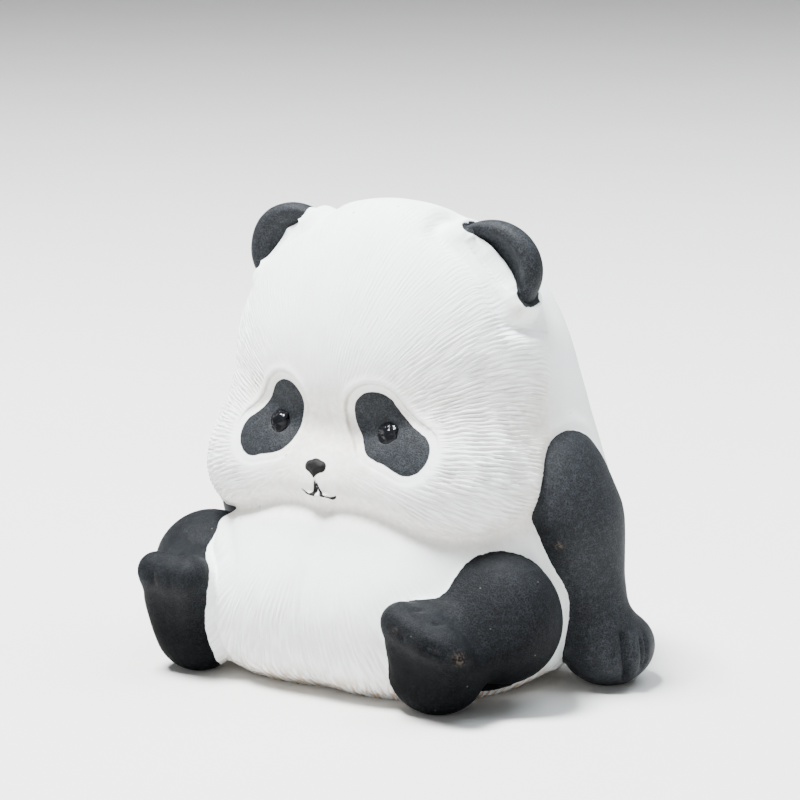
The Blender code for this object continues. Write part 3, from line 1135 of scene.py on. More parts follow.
@dataclass(frozen=True)
class Sculpture:
    """The fired clay as one closed piece.

    Args:
        torso: Head and body, with the limbs' forms.
        slip: Where the slip strays from the seams.
        stain: Where the clay is stained tan, and where tan shade is painted along
        the chin crease and above each eye patch.
        worn: Places and widths of the spots where the slip is rubbed.
        fillet: Fillet where a limb is pressed on.
        fillet_rounds: Newton steps that make it.
        fillet_step: The longest of these steps.
        least_slope: The least squared slope that a step reckons with.
        prints: Seed, height and size of the noises on the limbs.
        torso_reach: Length that surely leaves the torso.
        limb_reach: Length that surely leaves a limb.
        limb_crowding: How much closer a limb's grid is on its fine side.
        sparse_back: How much wider the grid is at the back.
        sparse_from: Degrees over which that comes.
        angle_samples: Angles at which the grid's spacing is added up.
        block: Half width and height of the block that cuts the underside.
        crisp_rises: Heights over which the step round a patch comes, with its painted shadow line.
        mark_reach: Distance past which the painted marks' edges aren't kept.
        hem_radius: Radius that makes an angle a length along the hem.
    """

    torso: Torso = field(default_factory=Torso)
    slip: SlipEdge = SlipEdge()
    stain: StainAndShade = StainAndShade()
    worn: tuple[tuple[Place, float], ...] = (
        ((17.9, -26.4, 12.6), 0.28), ((14.4, -26.9, 10.3), 0.4), ((18.6, -27.0, 10.9), 0.35),
        ((20.1, -26.8, 11.2), 0.35), ((21.5, -25.5, 7.9), 0.6), ((24.0, -9.0, 17.5), 0.4),
    )
    fillet: float = 0.7
    fillet_rounds: int = 3
    fillet_step: float = 0.3
    least_slope: float = 0.2
    prints: tuple[tuple[int, float, float], ...] = ((8, 0.09, 4.0), (9, 0.02, 1.3))
    torso_reach: float = 48.0
    limb_reach: float = 20.0
    limb_crowding: float = 0.5
    sparse_back: float = 0.2
    sparse_from: Span = (112.0, 140.0)
    angle_samples: int = 4001
    block: Span = (40.0, 20.0)
    crisp_rises: Span = (24.5, 28.0)
    mark_reach: float = 3.0
    hem_radius: float = 20.0

    def torso_rings(self) -> list[tuple[int, float]]:
        """Lay out the rings of the torso's grid, zone by zone.

        Returns:
            Number of columns and distance from the pole of each ring.
        """
        rings: list[tuple[int, float]] = []
        along = 0.0
        for columns, end, row in self.torso.zones:
            steps = max(round((end - along) / row), 1)
            rings += [(columns, along + (end - along) * (n + 1) / steps) for n in range(steps)]
            along = end
        return rings

    def torso_piece(self) -> Piece:
        """Head and body: rays from the middle to the clay's surface, raised by the relief.

        Returns:
            The closed torso.
        """
        torso = self.torso
        pole, up, left = torso.axes()
        rings = self.torso_rings()
        table = np.linspace(-math.pi, math.pi, self.angle_samples)
        density = np.gradient(torso.girth_share(table))
        density *= 1 - self.sparse_back * ramp(np.degrees(np.abs(table)), *self.sparse_from)
        share = np.cumsum(density) - density[0]
        share /= share[-1]
        away = [np.full(columns, place / torso.pole_radius) for columns, place in rings]
        around = [np.interp(np.arange(columns) / columns, share, table) for columns, _ in rings]
        away_all = np.concatenate(away + [np.array([0.0, math.pi])])[:, None]
        around_all = np.concatenate(around + [np.zeros(2)])[:, None]
        sideways = np.cos(around_all) * up + np.sin(around_all) * left
        ways = np.cos(away_all) * pole + np.sin(away_all) * sideways
        starts = np.broadcast_to(np.array(torso.middle), ways.shape)
        points = starts + ways * reach(torso.depth, starts, ways, self.torso_reach)[:, None]
        points = points + outward_ways(torso.depth, points) * torso.relief(points)[:, None]
        return mesh_object("panda_clay", points, ball_faces([columns for columns, _ in rings]))

    def limb_piece(self, name: str, limb: Limb, side: Side) -> Piece:
        """A limb: rays from a middle that runs along it, raised by its relief.

        Args:
            name: Name of the piece.
            limb: The limb's form.
            side: Which side it is on.

        Returns:
            The closed limb.
        """
        back, front = np.array(limb.middle[0]), np.array(limb.middle[1])
        turn = np.array(Vector(back - front).to_track_quat("Z", "Y").to_matrix())
        fine = turn.T @ np.array(limb.fine_towards)
        fine_at = math.atan2(-fine[1], fine[0])
        unit = ball_ways(limb.segments, limb.rings, fine_at, self.limb_crowding)
        starts = front + (unit[:, 2:] + 1) / 2 * (back - front)
        starts = starts + limb.spread * (unit * [1, 1, 0]) @ turn.T
        ways = unit @ turn.T
        faces = ball_faces([limb.segments] * limb.rings)
        if side is Side.RIGHT:
            starts = (starts - [limb.right_tuck, 0, 0]) * [-1, 1, 1]
            ways = ways * [-1, 1, 1]
            faces = [face[::-1] for face in faces]
        points = starts + ways * reach(limb.depth, starts, ways, self.limb_reach)[:, None]
        relief = limb.relief(points) + kneaded(points, self.prints)
        points = points + outward_ways(limb.depth, points) * relief[:, None]
        return mesh_object(name, points, faces)

    def limbs(self) -> dict[str, Limb]:
        """The three kinds of limb by name."""
        return {"arm": self.torso.arm, "leg": self.torso.leg, "ear": self.torso.ear}

    def limbs_depth(self, points: Array) -> Array:
        """Distance to the nearest limb."""
        return np.minimum.reduce([limb.depth(points) for limb in self.limbs().values()])

    def joined(self) -> Piece:
        """Join the limbs to the torso and cut the underside flat on the table.

        Returns:
            The closed clay.
        """
        clay = self.torso_piece()
        tools = [
            self.limb_piece(f"{side.name.lower()}_{name}", limb, side)
            for side in Side
            for name, limb in self.limbs().items()
        ]
        for tool in tools:
            apply_boolean(clay, tool, "UNION")
        self.soften(clay)
        wide, deep = self.block
        corners = [(x, y, z) for x in (-wide, wide) for y in (-wide, wide) for z in (-deep, 0.0)]
        sides = [(0, 1, 3, 2), (4, 6, 7, 5), (0, 4, 5, 1), (2, 3, 7, 6), (0, 2, 6, 4), (1, 5, 7, 3)]
        apply_boolean(clay, mesh_object("table_block", np.array(corners), sides), "DIFFERENCE")
        return clay

    def soften(self, clay: Piece) -> None:
        """Fill the joints: move points so that the pressed distance takes the plain one's value.

        Each Newton step goes down the slope s of the pressed distance by gap / s^2.

        Args:
            clay: The torso with the limbs joined to it.
        """
        points = mesh_points(clay)
        torso, limbs = self.torso.depth(points), self.limbs_depth(points)
        near = np.flatnonzero(np.abs(torso - limbs) < self.fillet)
        target = np.minimum(torso, limbs)[near]

        def joined(places: Array) -> Array:
            """Distance to torso and limbs pressed together."""
            return pressed(self.torso.depth(places), self.limbs_depth(places), self.fillet)

        moved = points[near]
        for _ in range(self.fillet_rounds):
            lean = slope(joined, moved)
            gap = (joined(moved) - target) / np.maximum((lean**2).sum(axis=1), self.least_slope)
            moved = moved - lean * np.clip(gap, -self.fillet_step, self.fillet_step)[:, None]
        points[near] = moved
        put_points(clay, points)

    def slip_edge(self, points: Array) -> Array:
        """Distance from the slip's edge, at the seams between limbs and torso or near them.

        Args:
            points: Points on the clay.

        Returns:
            Distance at each point, above 0 on the slip.
        """
        torso, slip, (x, y, z) = self.torso, self.slip, points.T
        on_leg = torso.leg.depth(points) < torso.arm.depth(points)
        inner = (x < 0) * (y < slip.bare_ahead_of) * fade(z, *slip.bare_top)
        under = ramp(x, *slip.under_x) * on_leg * fade(z, *slip.under_top)
        edge = torso.depth(points) - self.limbs_depth(points)
        edge += slip.under * under - slip.bare_inside * inner
        for place, width, run in slip.ears:
            edge += run * spot(points, place, width)
        return edge

    def stains_and_shade(self, points: Array) -> Array:
        """Tan wash: stains in a few spots, and shade painted along the chin crease and above
        patches.

        Args:
            points: Points on the clay.

        Returns:
            Strength at each point.
        """
        torso, stain = self.torso, self.stain
        # Painted shade along the crease under the chin.
        chin = stain.chin.over(torso.body(points) - torso.head(points))
        # Painted shadow above the step round each patch, on its upper side by ring_rises.
        ring = stain.ring.over(torso.face.patch(points))
        place, width, strength = stain.face_spot
        parts = [
            chin * fade(points[:, 1], *stain.chin_fades),
            ring * ramp(points[:, 2], *stain.ring_rises),
            strength * spot(points[:, [0, 2]], place, width),
        ]
        parts += [strength * spot(points, place, width) for place, width, strength in stain.spots]
        return np.clip(np.maximum.reduce(parts), 0, stain.most)

    def marks(self, clay: Piece) -> None:
        """Keep what the finish follows, as numbers for each point of the clay.

        Args:
            clay: The joined clay.
        """
        points = mesh_points(clay)
        torso, face = self.torso, self.torso.face
        angle, along = torso.polar(points)
        drawn = np.minimum(face.mouth(points), face.nose_edge(points))
        marks = {
            "slip": self.slip_edge(points),
            "worn": np.maximum.reduce([spot(points, place, width) for place, width in self.worn]),
            "painted": np.clip(-face.patch(points), -self.mark_reach, self.mark_reach),
            # Upper side of each patch, where its step is crisp and its shadow line is painted.
            "crisp": ramp(face.level(points), *self.crisp_rises),
            "line": np.clip(-drawn, -self.mark_reach, self.mark_reach),
            # Tan stains, with shade painted along the chin crease and above each patch.
            "stain": self.stains_and_shade(points),
            "across": torso.girth_share(angle) * 2 * math.pi * torso.pole_radius,
            "along": along,
            "combed": torso.combed(points),
            "girth": np.arctan2(points[:, 0], -points[:, 1]) * self.hem_radius,
        }
        for name, values in marks.items():
            put_attribute(clay, name, values)

    def build(self) -> Piece:
        """Make the clay, dress it and seat it in the frame.

        Returns:
            The dressed clay.
        """
        clay = self.joined()
        self.marks(clay)
        clay.data.materials.clear()
        clay.data.materials.append(ClayAndSlip().material())
        first_slot = np.zeros(len(clay.data.polygons), np.int32)
        clay.data.polygons.foreach_set("material_index", first_slot)
        clay.data.shade_smooth()
        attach(clay, "root")
        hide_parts("panda_body")
        return clay


def apply_boolean(target: Piece, tool: Piece, operation: str) -> None:
    """Join a tool to a piece or cut it away, and remove the tool.

    Args:
        target: The piece that changes.
        tool: The shape that is joined or cut away.
        operation: UNION or DIFFERENCE.
    """
    step = target.modifiers.new(tool.name, "BOOLEAN")
    step.object = tool
    step.operation = operation
    step.solver = "MANIFOLD"
    graph = bpy.context.evaluated_depsgraph_get()
    mesh = bpy.data.meshes.new_from_object(target.evaluated_get(graph))
    target.modifiers.clear()
    old = target.data
    target.data = mesh
    bpy.data.meshes.remove(old)
    bpy.data.objects.remove(tool)


@dataclass
class Wiring:
    """The nodes of one material.

    Args:
        name: The material's name.
    """

    name: str
    tree: bpy.types.NodeTree = field(init=False)
    made: bpy.types.Material = field(init=False)
    shader: bpy.types.Node = field(init=False)

    def __post_init__(self) -> None:
        """Start the material with its Principled shader."""
        self.made = bpy.data.materials.new(self.name)
        self.made.use_nodes = True
        self.tree = self.made.node_tree
        self.shader = self.tree.nodes["Principled BSDF"]

    def put(self, socket: Socket, value: object) -> None:
        """Link a socket to another node's output, or set its value.

        Args:
            socket: The socket.
            value: An output, or a plain value.
        """
        if isinstance(value, bpy.types.NodeSocket):
            self.tree.links.new(value, socket)
        else:
            socket.default_value = value

    def node(self, kind: str, inputs: dict, **settings: object) -> bpy.types.Node:
        """Add a node.

        Args:
            kind: The node's type, without its ShaderNode prefix.
            inputs: Values or outputs for its inputs, by name or number.
            **settings: Properties of the node.

        Returns:
            The new node.
        """
        made = self.tree.nodes.new("ShaderNode" + kind)
        for word, value in settings.items():
            setattr(made, word, value)
        for key, value in inputs.items():
            self.put(made.inputs[key], value)
        return made

    def finish(self, inputs: dict) -> bpy.types.Material:
        """Feed the Principled shader.

        Args:
            inputs: Values or outputs for its inputs, by name.

        Returns:
            The finished material.
        """
        for key, value in inputs.items():
            self.put(self.shader.inputs[key], value)
        return self.made

    def place(self) -> Socket:
        """The object coordinates, in metres."""
        return self.node("TexCoord", {}).outputs["Object"]

    def attribute(self, name: str) -> Socket:
        """A number kept for each point of the piece."""
        return self.node("Attribute", {}, attribute_name=name).outputs["Fac"]

    def texture(self, where: Socket, scale: float, detail: float) -> Socket:
        """Noise of a scale and detail, about 0 to 1."""
        inputs = {"Vector": where, "Scale": scale, "Detail": detail}
        return self.node("TexNoise", inputs).outputs["Fac"]

    def noise(self, where: Socket, size_mm: float, detail: float = 2.0) -> Socket:
        """Noise with features of a size in millimetres, on object coordinates."""
        return self.texture(where, 1000.0 / size_mm, detail)

    def sum(self, *terms: tuple[object, float]) -> Socket:
        """Add up values, each multiplied by its weight.

        Args:
            *terms: Each value with its weight.

        Returns:
            The sum.
        """
        total: object = 0.0
        for value, weight in terms:
            made = self.node("Math", {0: value, 1: weight, 2: total}, operation="MULTIPLY_ADD")
            total = made.outputs[0]
        return total

    def times(self, one: object, other: object) -> Socket:
        """The product of two values."""
        return self.node("Math", {0: one, 1: other}, operation="MULTIPLY").outputs[0]

    def greater(self, one: object, other: object) -> Socket:
        """The greater of two values."""
        return self.node("Math", {0: one, 1: other}, operation="MAXIMUM").outputs[0]

    def step(
        self, value: object, low: float, high: float, bottom: float = 0.0, top: float = 1.0
    ) -> Socket:
        """A smooth step.

        Args:
            value: What is read.
            low: Value at which the step starts.
            high: Value at which it ends, which may be the lower one.
            bottom: The step's value at its start.
            top: Its value at its end.

        Returns:
            The step.
        """
        inputs = {
            "Value": value, "From Min": low, "From Max": high, "To Min": bottom, "To Max": top,
        }
        return self.node("MapRange", inputs, interpolation_type="SMOOTHSTEP").outputs["Result"]

    def fall(self, value: object, low: float, high: float) -> Socket:
        """A smooth step from 1 at low to 0 at high."""
        return self.step(value, low, high, 1.0, 0.0)

    def mix(self, share: object, one: object, other: object) -> Socket:
        """Mix two colours.

        Args:
            share: Share of the other colour.
            one: One colour.
            other: The other colour.

        Returns:
            The mixed colour.
        """
        made = self.node("Mix", {}, data_type="RGBA")
        for number, value in ((0, share), (6, one), (7, other)):
            self.put(made.inputs[number], value)
        return made.outputs[2]

    def wash(self, base: object, colour: object, mask: object, strength: float) -> Socket:
        """Lay a colour over a base where a mask is, at a strength."""
        return self.mix(self.times(mask, strength), base, colour)

    def grit(self, where: Socket, grit: Grit) -> Socket:
        """Small dots at a few of a Voronoi pattern's cells.

        Args:
            where: Where the pattern is read.
            grit: The dots' density, choice and size.

        Returns:
            1 on a dot and 0 beside it.
        """
        cells = self.node("TexVoronoi", {"Vector": where, "Scale": grit.per_metre})
        picks = self.node("SeparateColor", {0: cells.outputs["Color"]}).outputs
        few = self.step(picks[grit.channel], *grit.few)
        return self.times(self.fall(cells.outputs["Distance"], *grit.size), few)


@dataclass(frozen=True)
class Grit:
    """Small dots scattered over a surface.

    Args:
        per_metre: Cells to a metre, of which few have a dot.
        channel: Channel of the cells' random colour that picks them.
        few: Values of that channel over which a cell comes to have a dot.
        size: Distances over which a dot ends, in cells.
    """

    per_metre: float
    channel: int
    few: Span
    size: Span


def rgb(red: float, green: float, blue: float) -> Colour:
    """A colour with full cover."""
    return (red, green, blue, 1.0)


@dataclass(frozen=True)
class ClayAndSlip:
    """White stoneware, with sandy black slip where the slip attribute is above 0.

    A Span is where a step starts and ends. Names that end in _m are places in metres, as
    object coordinates are, and those that end in _mm are sizes of noise.
    """

    clay: Colour = rgb(0.87, 0.895, 0.895)
    clay_shade: Colour = rgb(0.81, 0.83, 0.825)
    # Grey painted shade, for the fur's valleys and for the line under the step above each patch.
    painted_shade: Colour = rgb(0.56, 0.55, 0.52)
    tan: Colour = rgb(0.50, 0.36, 0.24)
    freckle: Colour = rgb(0.45, 0.30, 0.18)
    slip: Colour = rgb(0.0140, 0.0160, 0.0192)
    slip_light: Colour = rgb(0.024, 0.028, 0.034)
    slip_dark: Colour = rgb(0.0052, 0.0053, 0.0060)
    speck: Colour = rgb(0.045, 0.044, 0.042)
    worn: Colour = rgb(0.12, 0.085, 0.06)
    ink: Colour = rgb(0.004, 0.0035, 0.0035)
    fine_mm: float = 0.16
    worn_mm: float = 0.35
    medium_mm: float = 0.7
    stray_mm: float = 0.8
    broad_mm: float = 6.0
    stray_detail: float = 3.0
    unrest: tuple[tuple[str, float], ...] = (("slip", 0.30), ("painted", 0.16), ("line", 0.10))
    edge: Span = (-0.04, 0.04)
    hairs_per_unit: Span = (3.2, 0.42)
    hair_valley: Span = (0.60, 0.42)
    # Share of the grey shade painted into the fur's valleys.
    hair_painted_shade: float = 0.46
    teeth_up: float = 250.0
    teeth_scale: float = 2.6
    teeth_stained: Span = (0.44, 0.58)
    hem_m: Span = (0.0008, 0.0060)
    hem_stained_m: Span = (0.0008, 0.0040)
    hem_stain: float = 0.9
    cloud: Span = (0.3, 0.7)
    clay_grain: Span = (0.55, 0.8)
    clay_grain_shade: float = 0.35
    # Painted shadow: where the grey line under the step above each patch starts and ends, inwards
    # from the patch's edge, and how uneven it is.
    step_shadow_outer: Span = (-1.15, -0.95)
    step_shadow_inner: Span = (-0.88, -0.74)
    step_shadow_uneven: tuple[float, ...] = (0.2, 0.7, 0.35, 0.95)
    # Unevenness and share of the tan wash: stains, with shade painted along the chin crease and
    # above each patch.
    stain_uneven: tuple[float, ...] = (0.25, 0.75, 0.4, 1.0)
    stain_shade: float = 0.45
    freckles: Grit = Grit(420.0, 0, (0.93, 0.95), (0.06, 0.10))
    freckle_shade: float = 0.6
    slip_hollow: Span = (0.62, 0.35)
    slip_grain: Span = (0.66, 0.76)
    slip_grain_light: float = 0.5
    sand: Grit = Grit(1500.0, 1, (0.985, 0.990), (0.10, 0.22))
    worn_uneven: tuple[float, ...] = (0.45, 0.6, 0.0, 0.6)
    # Painted shade: the slip is darker and gleams less on the legs, and darker still on the soles.
    legs_m: Span = (-0.007, -0.011)
    legs_top_m: Span = (0.019, 0.022)
    legs_painted_shade: float = 0.50
    soles_top_m: Span = (0.0040, 0.0115)
    soles_painted_shade: float = 0.30
    roughness: float = 0.66
    slip_smoother: float = 0.08
    roughness_grain: float = 0.14
    gleam: float = 0.16
    step_edge: Span = (-1.0, -0.8)
    bump_strength: float = 0.5
    bump_m: float = 0.00006
    bump_fine: float = 0.35
    bump_medium: float = 0.5
    bump_sand: float = 2.0
    bump_hair: float = -3.4
    bump_teeth: float = 6.0
    bump_step: float = 3.0

    def coverage(self, wires: Wiring, where: Socket) -> tuple[Socket, Socket]:
        """How far slip and paint cover the clay, with edges that stray as a brush's do.

        Args:
            wires: The material's nodes.
            where: The object coordinates.

        Returns:
            Cover by anything black, and by the drawn line alone.
        """
        noise = wires.noise(where, self.stray_mm, self.stray_detail)
        stray = wires.sum((noise, 1.0), (0.5, -1.0))
        slip, painted, line = (
            wires.step(wires.sum((wires.attribute(word), 1.0), (stray, unrest)), *self.edge)
            for word, unrest in self.unrest
        )
        return wires.greater(wires.greater(slip, painted), line), line

    def hair(self, wires: Wiring, black: Socket) -> Socket:
        """Valleys between the fur's hairs on bare clay, from noise drawn out along them.

        They carry the bump, and the grey shade painted into the valleys.

        Args:
            wires: The material's nodes.
            black: Cover by anything black.

        Returns:
            Depth of the valleys, 0 to 1.
        """
        across, along = self.hairs_per_unit
        place = wires.node("CombineXYZ", {
            0: wires.times(wires.attribute("across"), across),
            1: wires.times(wires.attribute("along"), along),
        }).outputs[0]
        bare = wires.sum((black, -1.0), (1.0, 1.0))
        combed = wires.times(wires.attribute("combed"), bare)
        return wires.times(wires.step(wires.texture(place, 1.0, 2.0), *self.hair_valley), combed)

    def white(self, wires: Wiring, parts: dict[str, Socket]) -> Socket:
        """Colour of the bare clay: clouded, with painted shade, stained and freckled.

        Shade is painted grey into the fur's valleys and into a line under the step above each
        eye patch. It is painted tan along the chin crease and above each patch, beside the real
        stains.

        Args:
            wires: The material's nodes.
            parts: The patterns that it follows, by name.

        Returns:
            The colour.
        """
        medium, fine, where = parts["medium"], parts["fine"], parts["where"]
        cloud = wires.step(wires.noise(where, self.broad_mm), *self.cloud)
        grain = wires.step(fine, *self.clay_grain)
        white = wires.mix(cloud, self.clay, self.clay_shade)
        white = wires.wash(white, self.clay_shade, grain, self.clay_grain_shade)
        # Painted shade: grey in the valleys between the hairs.
        white = wires.wash(white, self.painted_shade, parts["hair"], self.hair_painted_shade)
        # Painted shadow: a grey line under the step round each eye patch, on its upper side only.
        inwards = parts["inwards"]
        inner, outer = wires.fall(inwards, *self.step_shadow_inner), wires.step(inwards, *self.step_shadow_outer)
        ring = wires.times(wires.times(inner, outer), parts["crisp"])
        uneven = wires.step(medium, *self.step_shadow_uneven)
        white = wires.mix(wires.times(ring, uneven), white, self.painted_shade)
        # Tan wash: stains, with shade painted along the chin crease and above each patch.
        stain = wires.times(wires.attribute("stain"), wires.step(medium, *self.stain_uneven))
        white = wires.wash(white, self.tan, stain, self.stain_shade)
        low = wires.fall(parts["foot"], *self.hem_stained_m)
        low_tan = wires.times(low, wires.step(parts["teeth"], *self.teeth_stained))
        white = wires.wash(white, self.tan, low_tan, self.hem_stain)
        return wires.wash(white, self.freckle, wires.grit(where, self.freckles), self.freckle_shade)

    def dark(self, wires: Wiring, parts: dict[str, Socket]) -> Socket:
        """Colour of the slip: clouded and sandy, with shade painted on the legs and soles.

        It is rubbed on the toes, and inked on the lines.

        Args:
            wires: The material's nodes.
            parts: The patterns that it follows, by name.

        Returns:
            The colour.
        """
        medium, fine, where = parts["medium"], parts["fine"], parts["where"]
        dark = wires.mix(wires.step(medium, *self.cloud), self.slip, self.slip_light)
        dark = wires.mix(wires.step(fine, *self.slip_hollow), dark, self.slip_dark)
        grain = wires.step(fine, *self.slip_grain)
        dark = wires.wash(dark, self.slip_light, grain, self.slip_grain_light)
        # Painted shade: the slip darkened on the legs, more on the soles.
        dark = wires.node("HueSaturation", {"Color": dark, "Value": parts["shade"]}).outputs[0]
        dark = wires.mix(wires.grit(where, self.sand), dark, self.speck)
        uneven = wires.step(wires.noise(where, self.worn_mm), *self.worn_uneven)
        dark = wires.mix(wires.times(wires.attribute("worn"), uneven), dark, self.worn)
        return wires.mix(parts["line"], dark, self.ink)

    def height(self, wires: Wiring, parts: dict[str, Socket]) -> Socket:
        """Height of the grain: sand, hairs, teeth along the hem and the step round a patch.

        Args:
            wires: The material's nodes.
            parts: The patterns that it follows, by name.

        Returns:
            The height for the bump.
        """
        fine, black = parts["fine"], parts["black"]
        low = wires.fall(parts["foot"], *self.hem_m)
        step = wires.times(wires.fall(parts["inwards"], *self.step_edge), parts["crisp"])
        return wires.sum(
            (fine, self.bump_fine), (parts["medium"], self.bump_medium),
            (wires.times(fine, black), self.bump_sand), (parts["hair"], self.bump_hair),
            (wires.times(low, parts["teeth"]), self.bump_teeth), (step, self.bump_step),
        )

    def material(self) -> bpy.types.Material:
        """Build the nodes.

        Returns:
            The finished material.
        """
        wires = Wiring("clay_and_slip")
        where = wires.place()
        _, ahead, foot = wires.node("SeparateXYZ", {0: where}).outputs
        black, line = self.coverage(wires, where)
        comb = wires.node("CombineXYZ", {
            0: wires.attribute("girth"), 1: wires.times(foot, self.teeth_up),
        }).outputs[0]
        # Painted shade on the legs and soles, by place: darker slip that gleams less.
        legs = wires.times(wires.step(ahead, *self.legs_m), wires.fall(foot, *self.legs_top_m))
        soles = wires.times(legs, wires.fall(foot, *self.soles_top_m))
        shade = wires.sum((legs, -self.legs_painted_shade), (soles, -self.soles_painted_shade), (1.0, 1.0))
        parts = {
            "where": where, "foot": foot, "black": black, "line": line, "shade": shade,
            "fine": wires.noise(where, self.fine_mm), "medium": wires.noise(where, self.medium_mm),
            "hair": self.hair(wires, black), "teeth": wires.texture(comb, self.teeth_scale, 1.0),
            "inwards": wires.attribute("painted"), "crisp": wires.attribute("crisp"),
        }
        colour = wires.mix(black, self.white(wires, parts), self.dark(wires, parts))
        rough = wires.sum(
            (black, -self.slip_smoother), (parts["fine"], self.roughness_grain),
            (self.roughness, 1.0),
        )
        # The painted shade on the legs and soles also takes gleam off the slip there.
        dull = wires.times(black, wires.sum((shade, 1.0), (-1.0, 1.0)))
        bump = wires.node("Bump", {
            "Strength": self.bump_strength, "Distance": self.bump_m,
            "Height": self.height(wires, parts),
        })
        return wires.finish({
            "Base Color": colour,
            "Roughness": rough,
            "Specular IOR Level": wires.sum((dull, self.gleam), (self.gleam, 1.0)),
            "Normal": bump.outputs["Normal"],
        })


@dataclass(frozen=True)
class BlackGlaze:
    """Glossy black glaze of the eyes."""

    colour: Colour = rgb(0.004, 0.004, 0.005)
    haze: Colour = rgb(0.007, 0.0075, 0.009)
    lumps_mm: float = 1.1
    smears_mm: float = 0.4
    smears: tuple[float, ...] = (0.3, 0.7, 0.03, 0.10)
    gleam: float = 0.12
    bump_strength: float = 0.8
    bump_m: float = 0.0003

    def material(self) -> bpy.types.Material:
        """Build the nodes: near black and smooth, with a lumpy skin.

        Returns:
            The finished material.
        """
        wires = Wiring("black_glaze_finish")
        where = wires.place()
        lumps = wires.noise(where, self.lumps_mm)
        bump = wires.node("Bump", {
            "Strength": self.bump_strength, "Distance": self.bump_m, "Height": lumps,
        })
        return wires.finish({
            "Base Color": wires.mix(lumps, self.colour, self.haze),
            "Roughness": wires.step(wires.noise(where, self.smears_mm), *self.smears),
            "Specular IOR Level": self.gleam,
            "Normal": bump.outputs["Normal"],
        })


@dataclass(frozen=True)
class EyeBead:
    """A drop of glaze half sunk in its socket.

    Args:
        name: Name of the piece.
        node: The solid that it stands for.
        at: Its place on the face in (x, z).
        radii: Its half sizes, across, out of the face and up.
        sunk: How far its middle is below the clay's plain surface.
        uneven: How much the noise swells it.
        seed: Seed of that noise.
        lumps: Cells of the noise to a half size.
        furthest: Length that surely leaves the head.
        segments: Points in each ring.
        rings: Rings between the poles.
    """

    name: str
    node: str
    at: Span
    radii: Place = (1.3, 0.8, 1.3)
    sunk: float = 0.5
    uneven: float = 0.26
    seed: int = 21
    lumps: float = 2.0
    furthest: float = 40.0
    segments: int = 64
    rings: int = 40

    def build(self, torso: Torso, glaze: bpy.types.Material) -> Piece:
        """Lay the drop on the face: an egg with its half sizes, made uneven by noise.

        Args:
            torso: The clay that it sits in.
            glaze: Its material.

        Returns:
            The bead.
        """
        start = np.array([[self.at[0], torso.middle[1], self.at[1]]])
        way = np.array([[0.0, -1.0, 0.0]])
        surface = start + way * reach(torso.depth, start, way, self.furthest)[:, None]
        lean = outward_ways(torso.depth, surface)
        ways = ball_ways(self.segments, self.rings)
        turn = np.array(Vector(-lean[0]).to_track_quat("Y", "Z").to_matrix())
        noise = Grain(self.seed).at(ways * self.lumps + self.at[0], 1.0)
        swell = 1 + self.uneven * noise[:, None]
        points = surface - self.sunk * lean + (ways * self.radii * swell) @ turn.T
        made = mesh_object(self.name, points, ball_faces([self.segments] * self.rings))
        made.data.materials.append(glaze)
        made.data.shade_smooth()
        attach(made, "root")
        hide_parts(self.node)
        return made


@dataclass(frozen=True)
class Light:
    """A square soft light.

    Args:
        name: Its name.
        place: Where it stands, in metres.
        aim: The point that it faces.
        size: Its side.
        power: Its power in watts.
        colour: Its colour.
    """

    name: str
    place: Place
    aim: Place
    size: float
    power: float
    colour: Place

    def build(self) -> None:
        """Add the light, turned towards its aim."""
        data = bpy.data.lights.new(self.name, "AREA")
        data.energy, data.size, data.color = self.power, self.size, self.colour
        made = bpy.data.objects.new(self.name, data)
        bpy.context.scene.collection.objects.link(made)
        made.location = self.place
        made.rotation_mode = "QUATERNION"
        made.rotation_quaternion = (Vector(self.aim) - Vector(self.place)).to_track_quat("-Z", "Y")


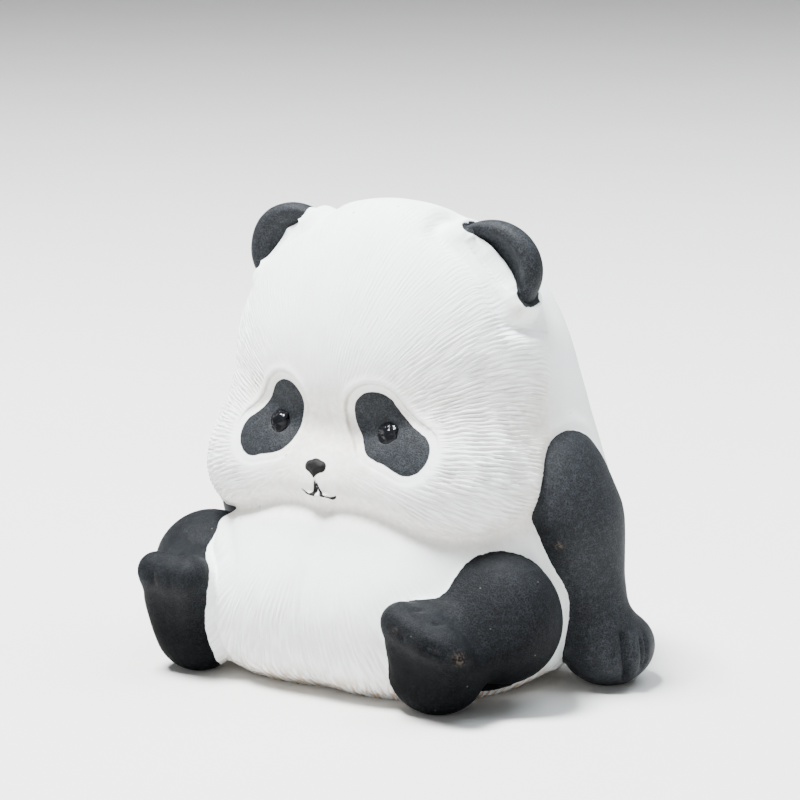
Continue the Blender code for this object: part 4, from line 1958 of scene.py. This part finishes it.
@dataclass(frozen=True)
class Studio:
    """A pale floor that sweeps up behind, soft light, and the camera.

    Lengths are in metres, and the camera's shift is in pixels of the photograph.
    """

    azimuth: float = 33.5
    elevation: float = 11.203
    distance: float = 0.377743
    target: Place = (0.0, 0.0, 0.027)
    pixels_per_metre: float = 8600.0
    image_width: float = 800.0
    shift: Span = (23.295, 25.032)
    sensor: float = 36.0
    nearest: float = 0.01
    floor_front: float = -1.5
    bend_start: float = 1.2
    bend_radius: float = 0.5
    bend_steps: int = 25
    wall_top: float = 2.5
    floor_half_width: float = 3.0
    floor_colour: Colour = rgb(0.62, 0.61, 0.59)
    floor_light: Colour = rgb(0.66, 0.65, 0.63)
    floor_mm: float = 60.0
    floor_roughness: float = 0.8
    aim: Place = (0.0, 0.0, 0.02)
    lamps: tuple[tuple[str, Place, float, float, Place], ...] = (
        ("key", (-0.16, -0.14, 0.74), 0.24, 36.0, (0.97, 0.99, 1.0)),
        ("top", (0.22, 0.25, 0.70), 0.5, 7.5, (0.86, 0.94, 1.0)),
        ("fill", (0.30, -0.75, 0.25), 0.5, 2.4, (0.95, 0.98, 1.0)),
    )
    sky: Colour = rgb(0.80, 0.84, 0.88)
    sky_strength: float = 0.28

    def floor(self) -> None:
        """A sheet carried along x: flat, a quarter turn of the bend's radius, then upright."""
        bend = np.linspace(0, math.pi / 2, self.bend_steps)
        out = self.bend_start + self.bend_radius * np.sin(bend)
        up = self.bend_radius - self.bend_radius * np.cos(bend)
        wall = self.bend_start + self.bend_radius
        profile = np.vstack([
            [[self.floor_front, 0.0]], np.stack([out, up], axis=1), [[wall, self.wall_top]],
        ])
        rows = len(profile)
        sides = np.repeat([-self.floor_half_width, self.floor_half_width], rows)
        points = np.column_stack([sides, np.tile(profile, (2, 1))])
        faces = [(n, rows + n, rows + n + 1, n + 1) for n in range(rows - 1)]
        spun = turned(points, -self.azimuth, 0, 1)
        sheet = mesh_object("studio_floor", spun / UNIT, faces)
        sheet.data.shade_smooth()
        wires = Wiring("studio_paper")
        tone = wires.noise(wires.place(), self.floor_mm)
        sheet.data.materials.append(wires.finish({
            "Base Color": wires.mix(tone, self.floor_colour, self.floor_light),
            "Roughness": self.floor_roughness,
        }))

    def camera(self) -> None:
        """The camera at the photograph's angle, distance and framing."""
        turn, lift = math.radians(self.azimuth), math.radians(self.elevation)
        out = math.cos(lift)
        back = Vector((math.sin(turn) * out, -math.cos(turn) * out, math.sin(lift)))
        data = bpy.data.cameras.new("camera")
        made = bpy.data.objects.new("camera", data)
        bpy.context.scene.collection.objects.link(made)
        made.location = Vector(self.target) + self.distance * back
        made.rotation_mode = "QUATERNION"
        made.rotation_quaternion = (-back).to_track_quat("-Z", "Y")
        data.sensor_width = self.sensor
        data.lens = self.sensor * self.pixels_per_metre * self.distance / self.image_width
        data.shift_x = -self.shift[0] / self.image_width
        data.shift_y = self.shift[1] / self.image_width
        data.clip_start = self.nearest
        bpy.context.scene.camera = made

    def build(self) -> None:
        """Set up floor, light and camera."""
        self.floor()
        self.camera()
        for name, place, size, power, colour in self.lamps:
            Light(name, place, self.aim, size, power, colour).build()
        world = bpy.data.worlds.new("studio")
        world.use_nodes = True
        shade = world.node_tree.nodes["Background"]
        shade.inputs[0].default_value = self.sky
        shade.inputs[1].default_value = self.sky_strength
        bpy.context.scene.world = world


def main() -> None:
    """Build the clay, the eyes and the studio, and report each piece."""
    logging.basicConfig(level=logging.INFO, format="%(message)s", force=True)
    sculpture = Sculpture()
    clay = sculpture.build()
    clay.data.calc_loop_triangles()
    LOG.info("%s: %d triangles", clay.name, len(clay.data.loop_triangles))
    glaze = BlackGlaze().material()
    face = sculpture.torso.face
    for name, at in (("left_eye", face.left_eye), ("right_eye", face.right_eye)):
        bead = EyeBead(f"{name}_drop", f"{name}_bead", at).build(sculpture.torso, glaze)
        LOG.info("%s: %d faces", bead.name, len(bead.data.polygons))
    Studio().build()


if __name__ == "__main__":
    main()
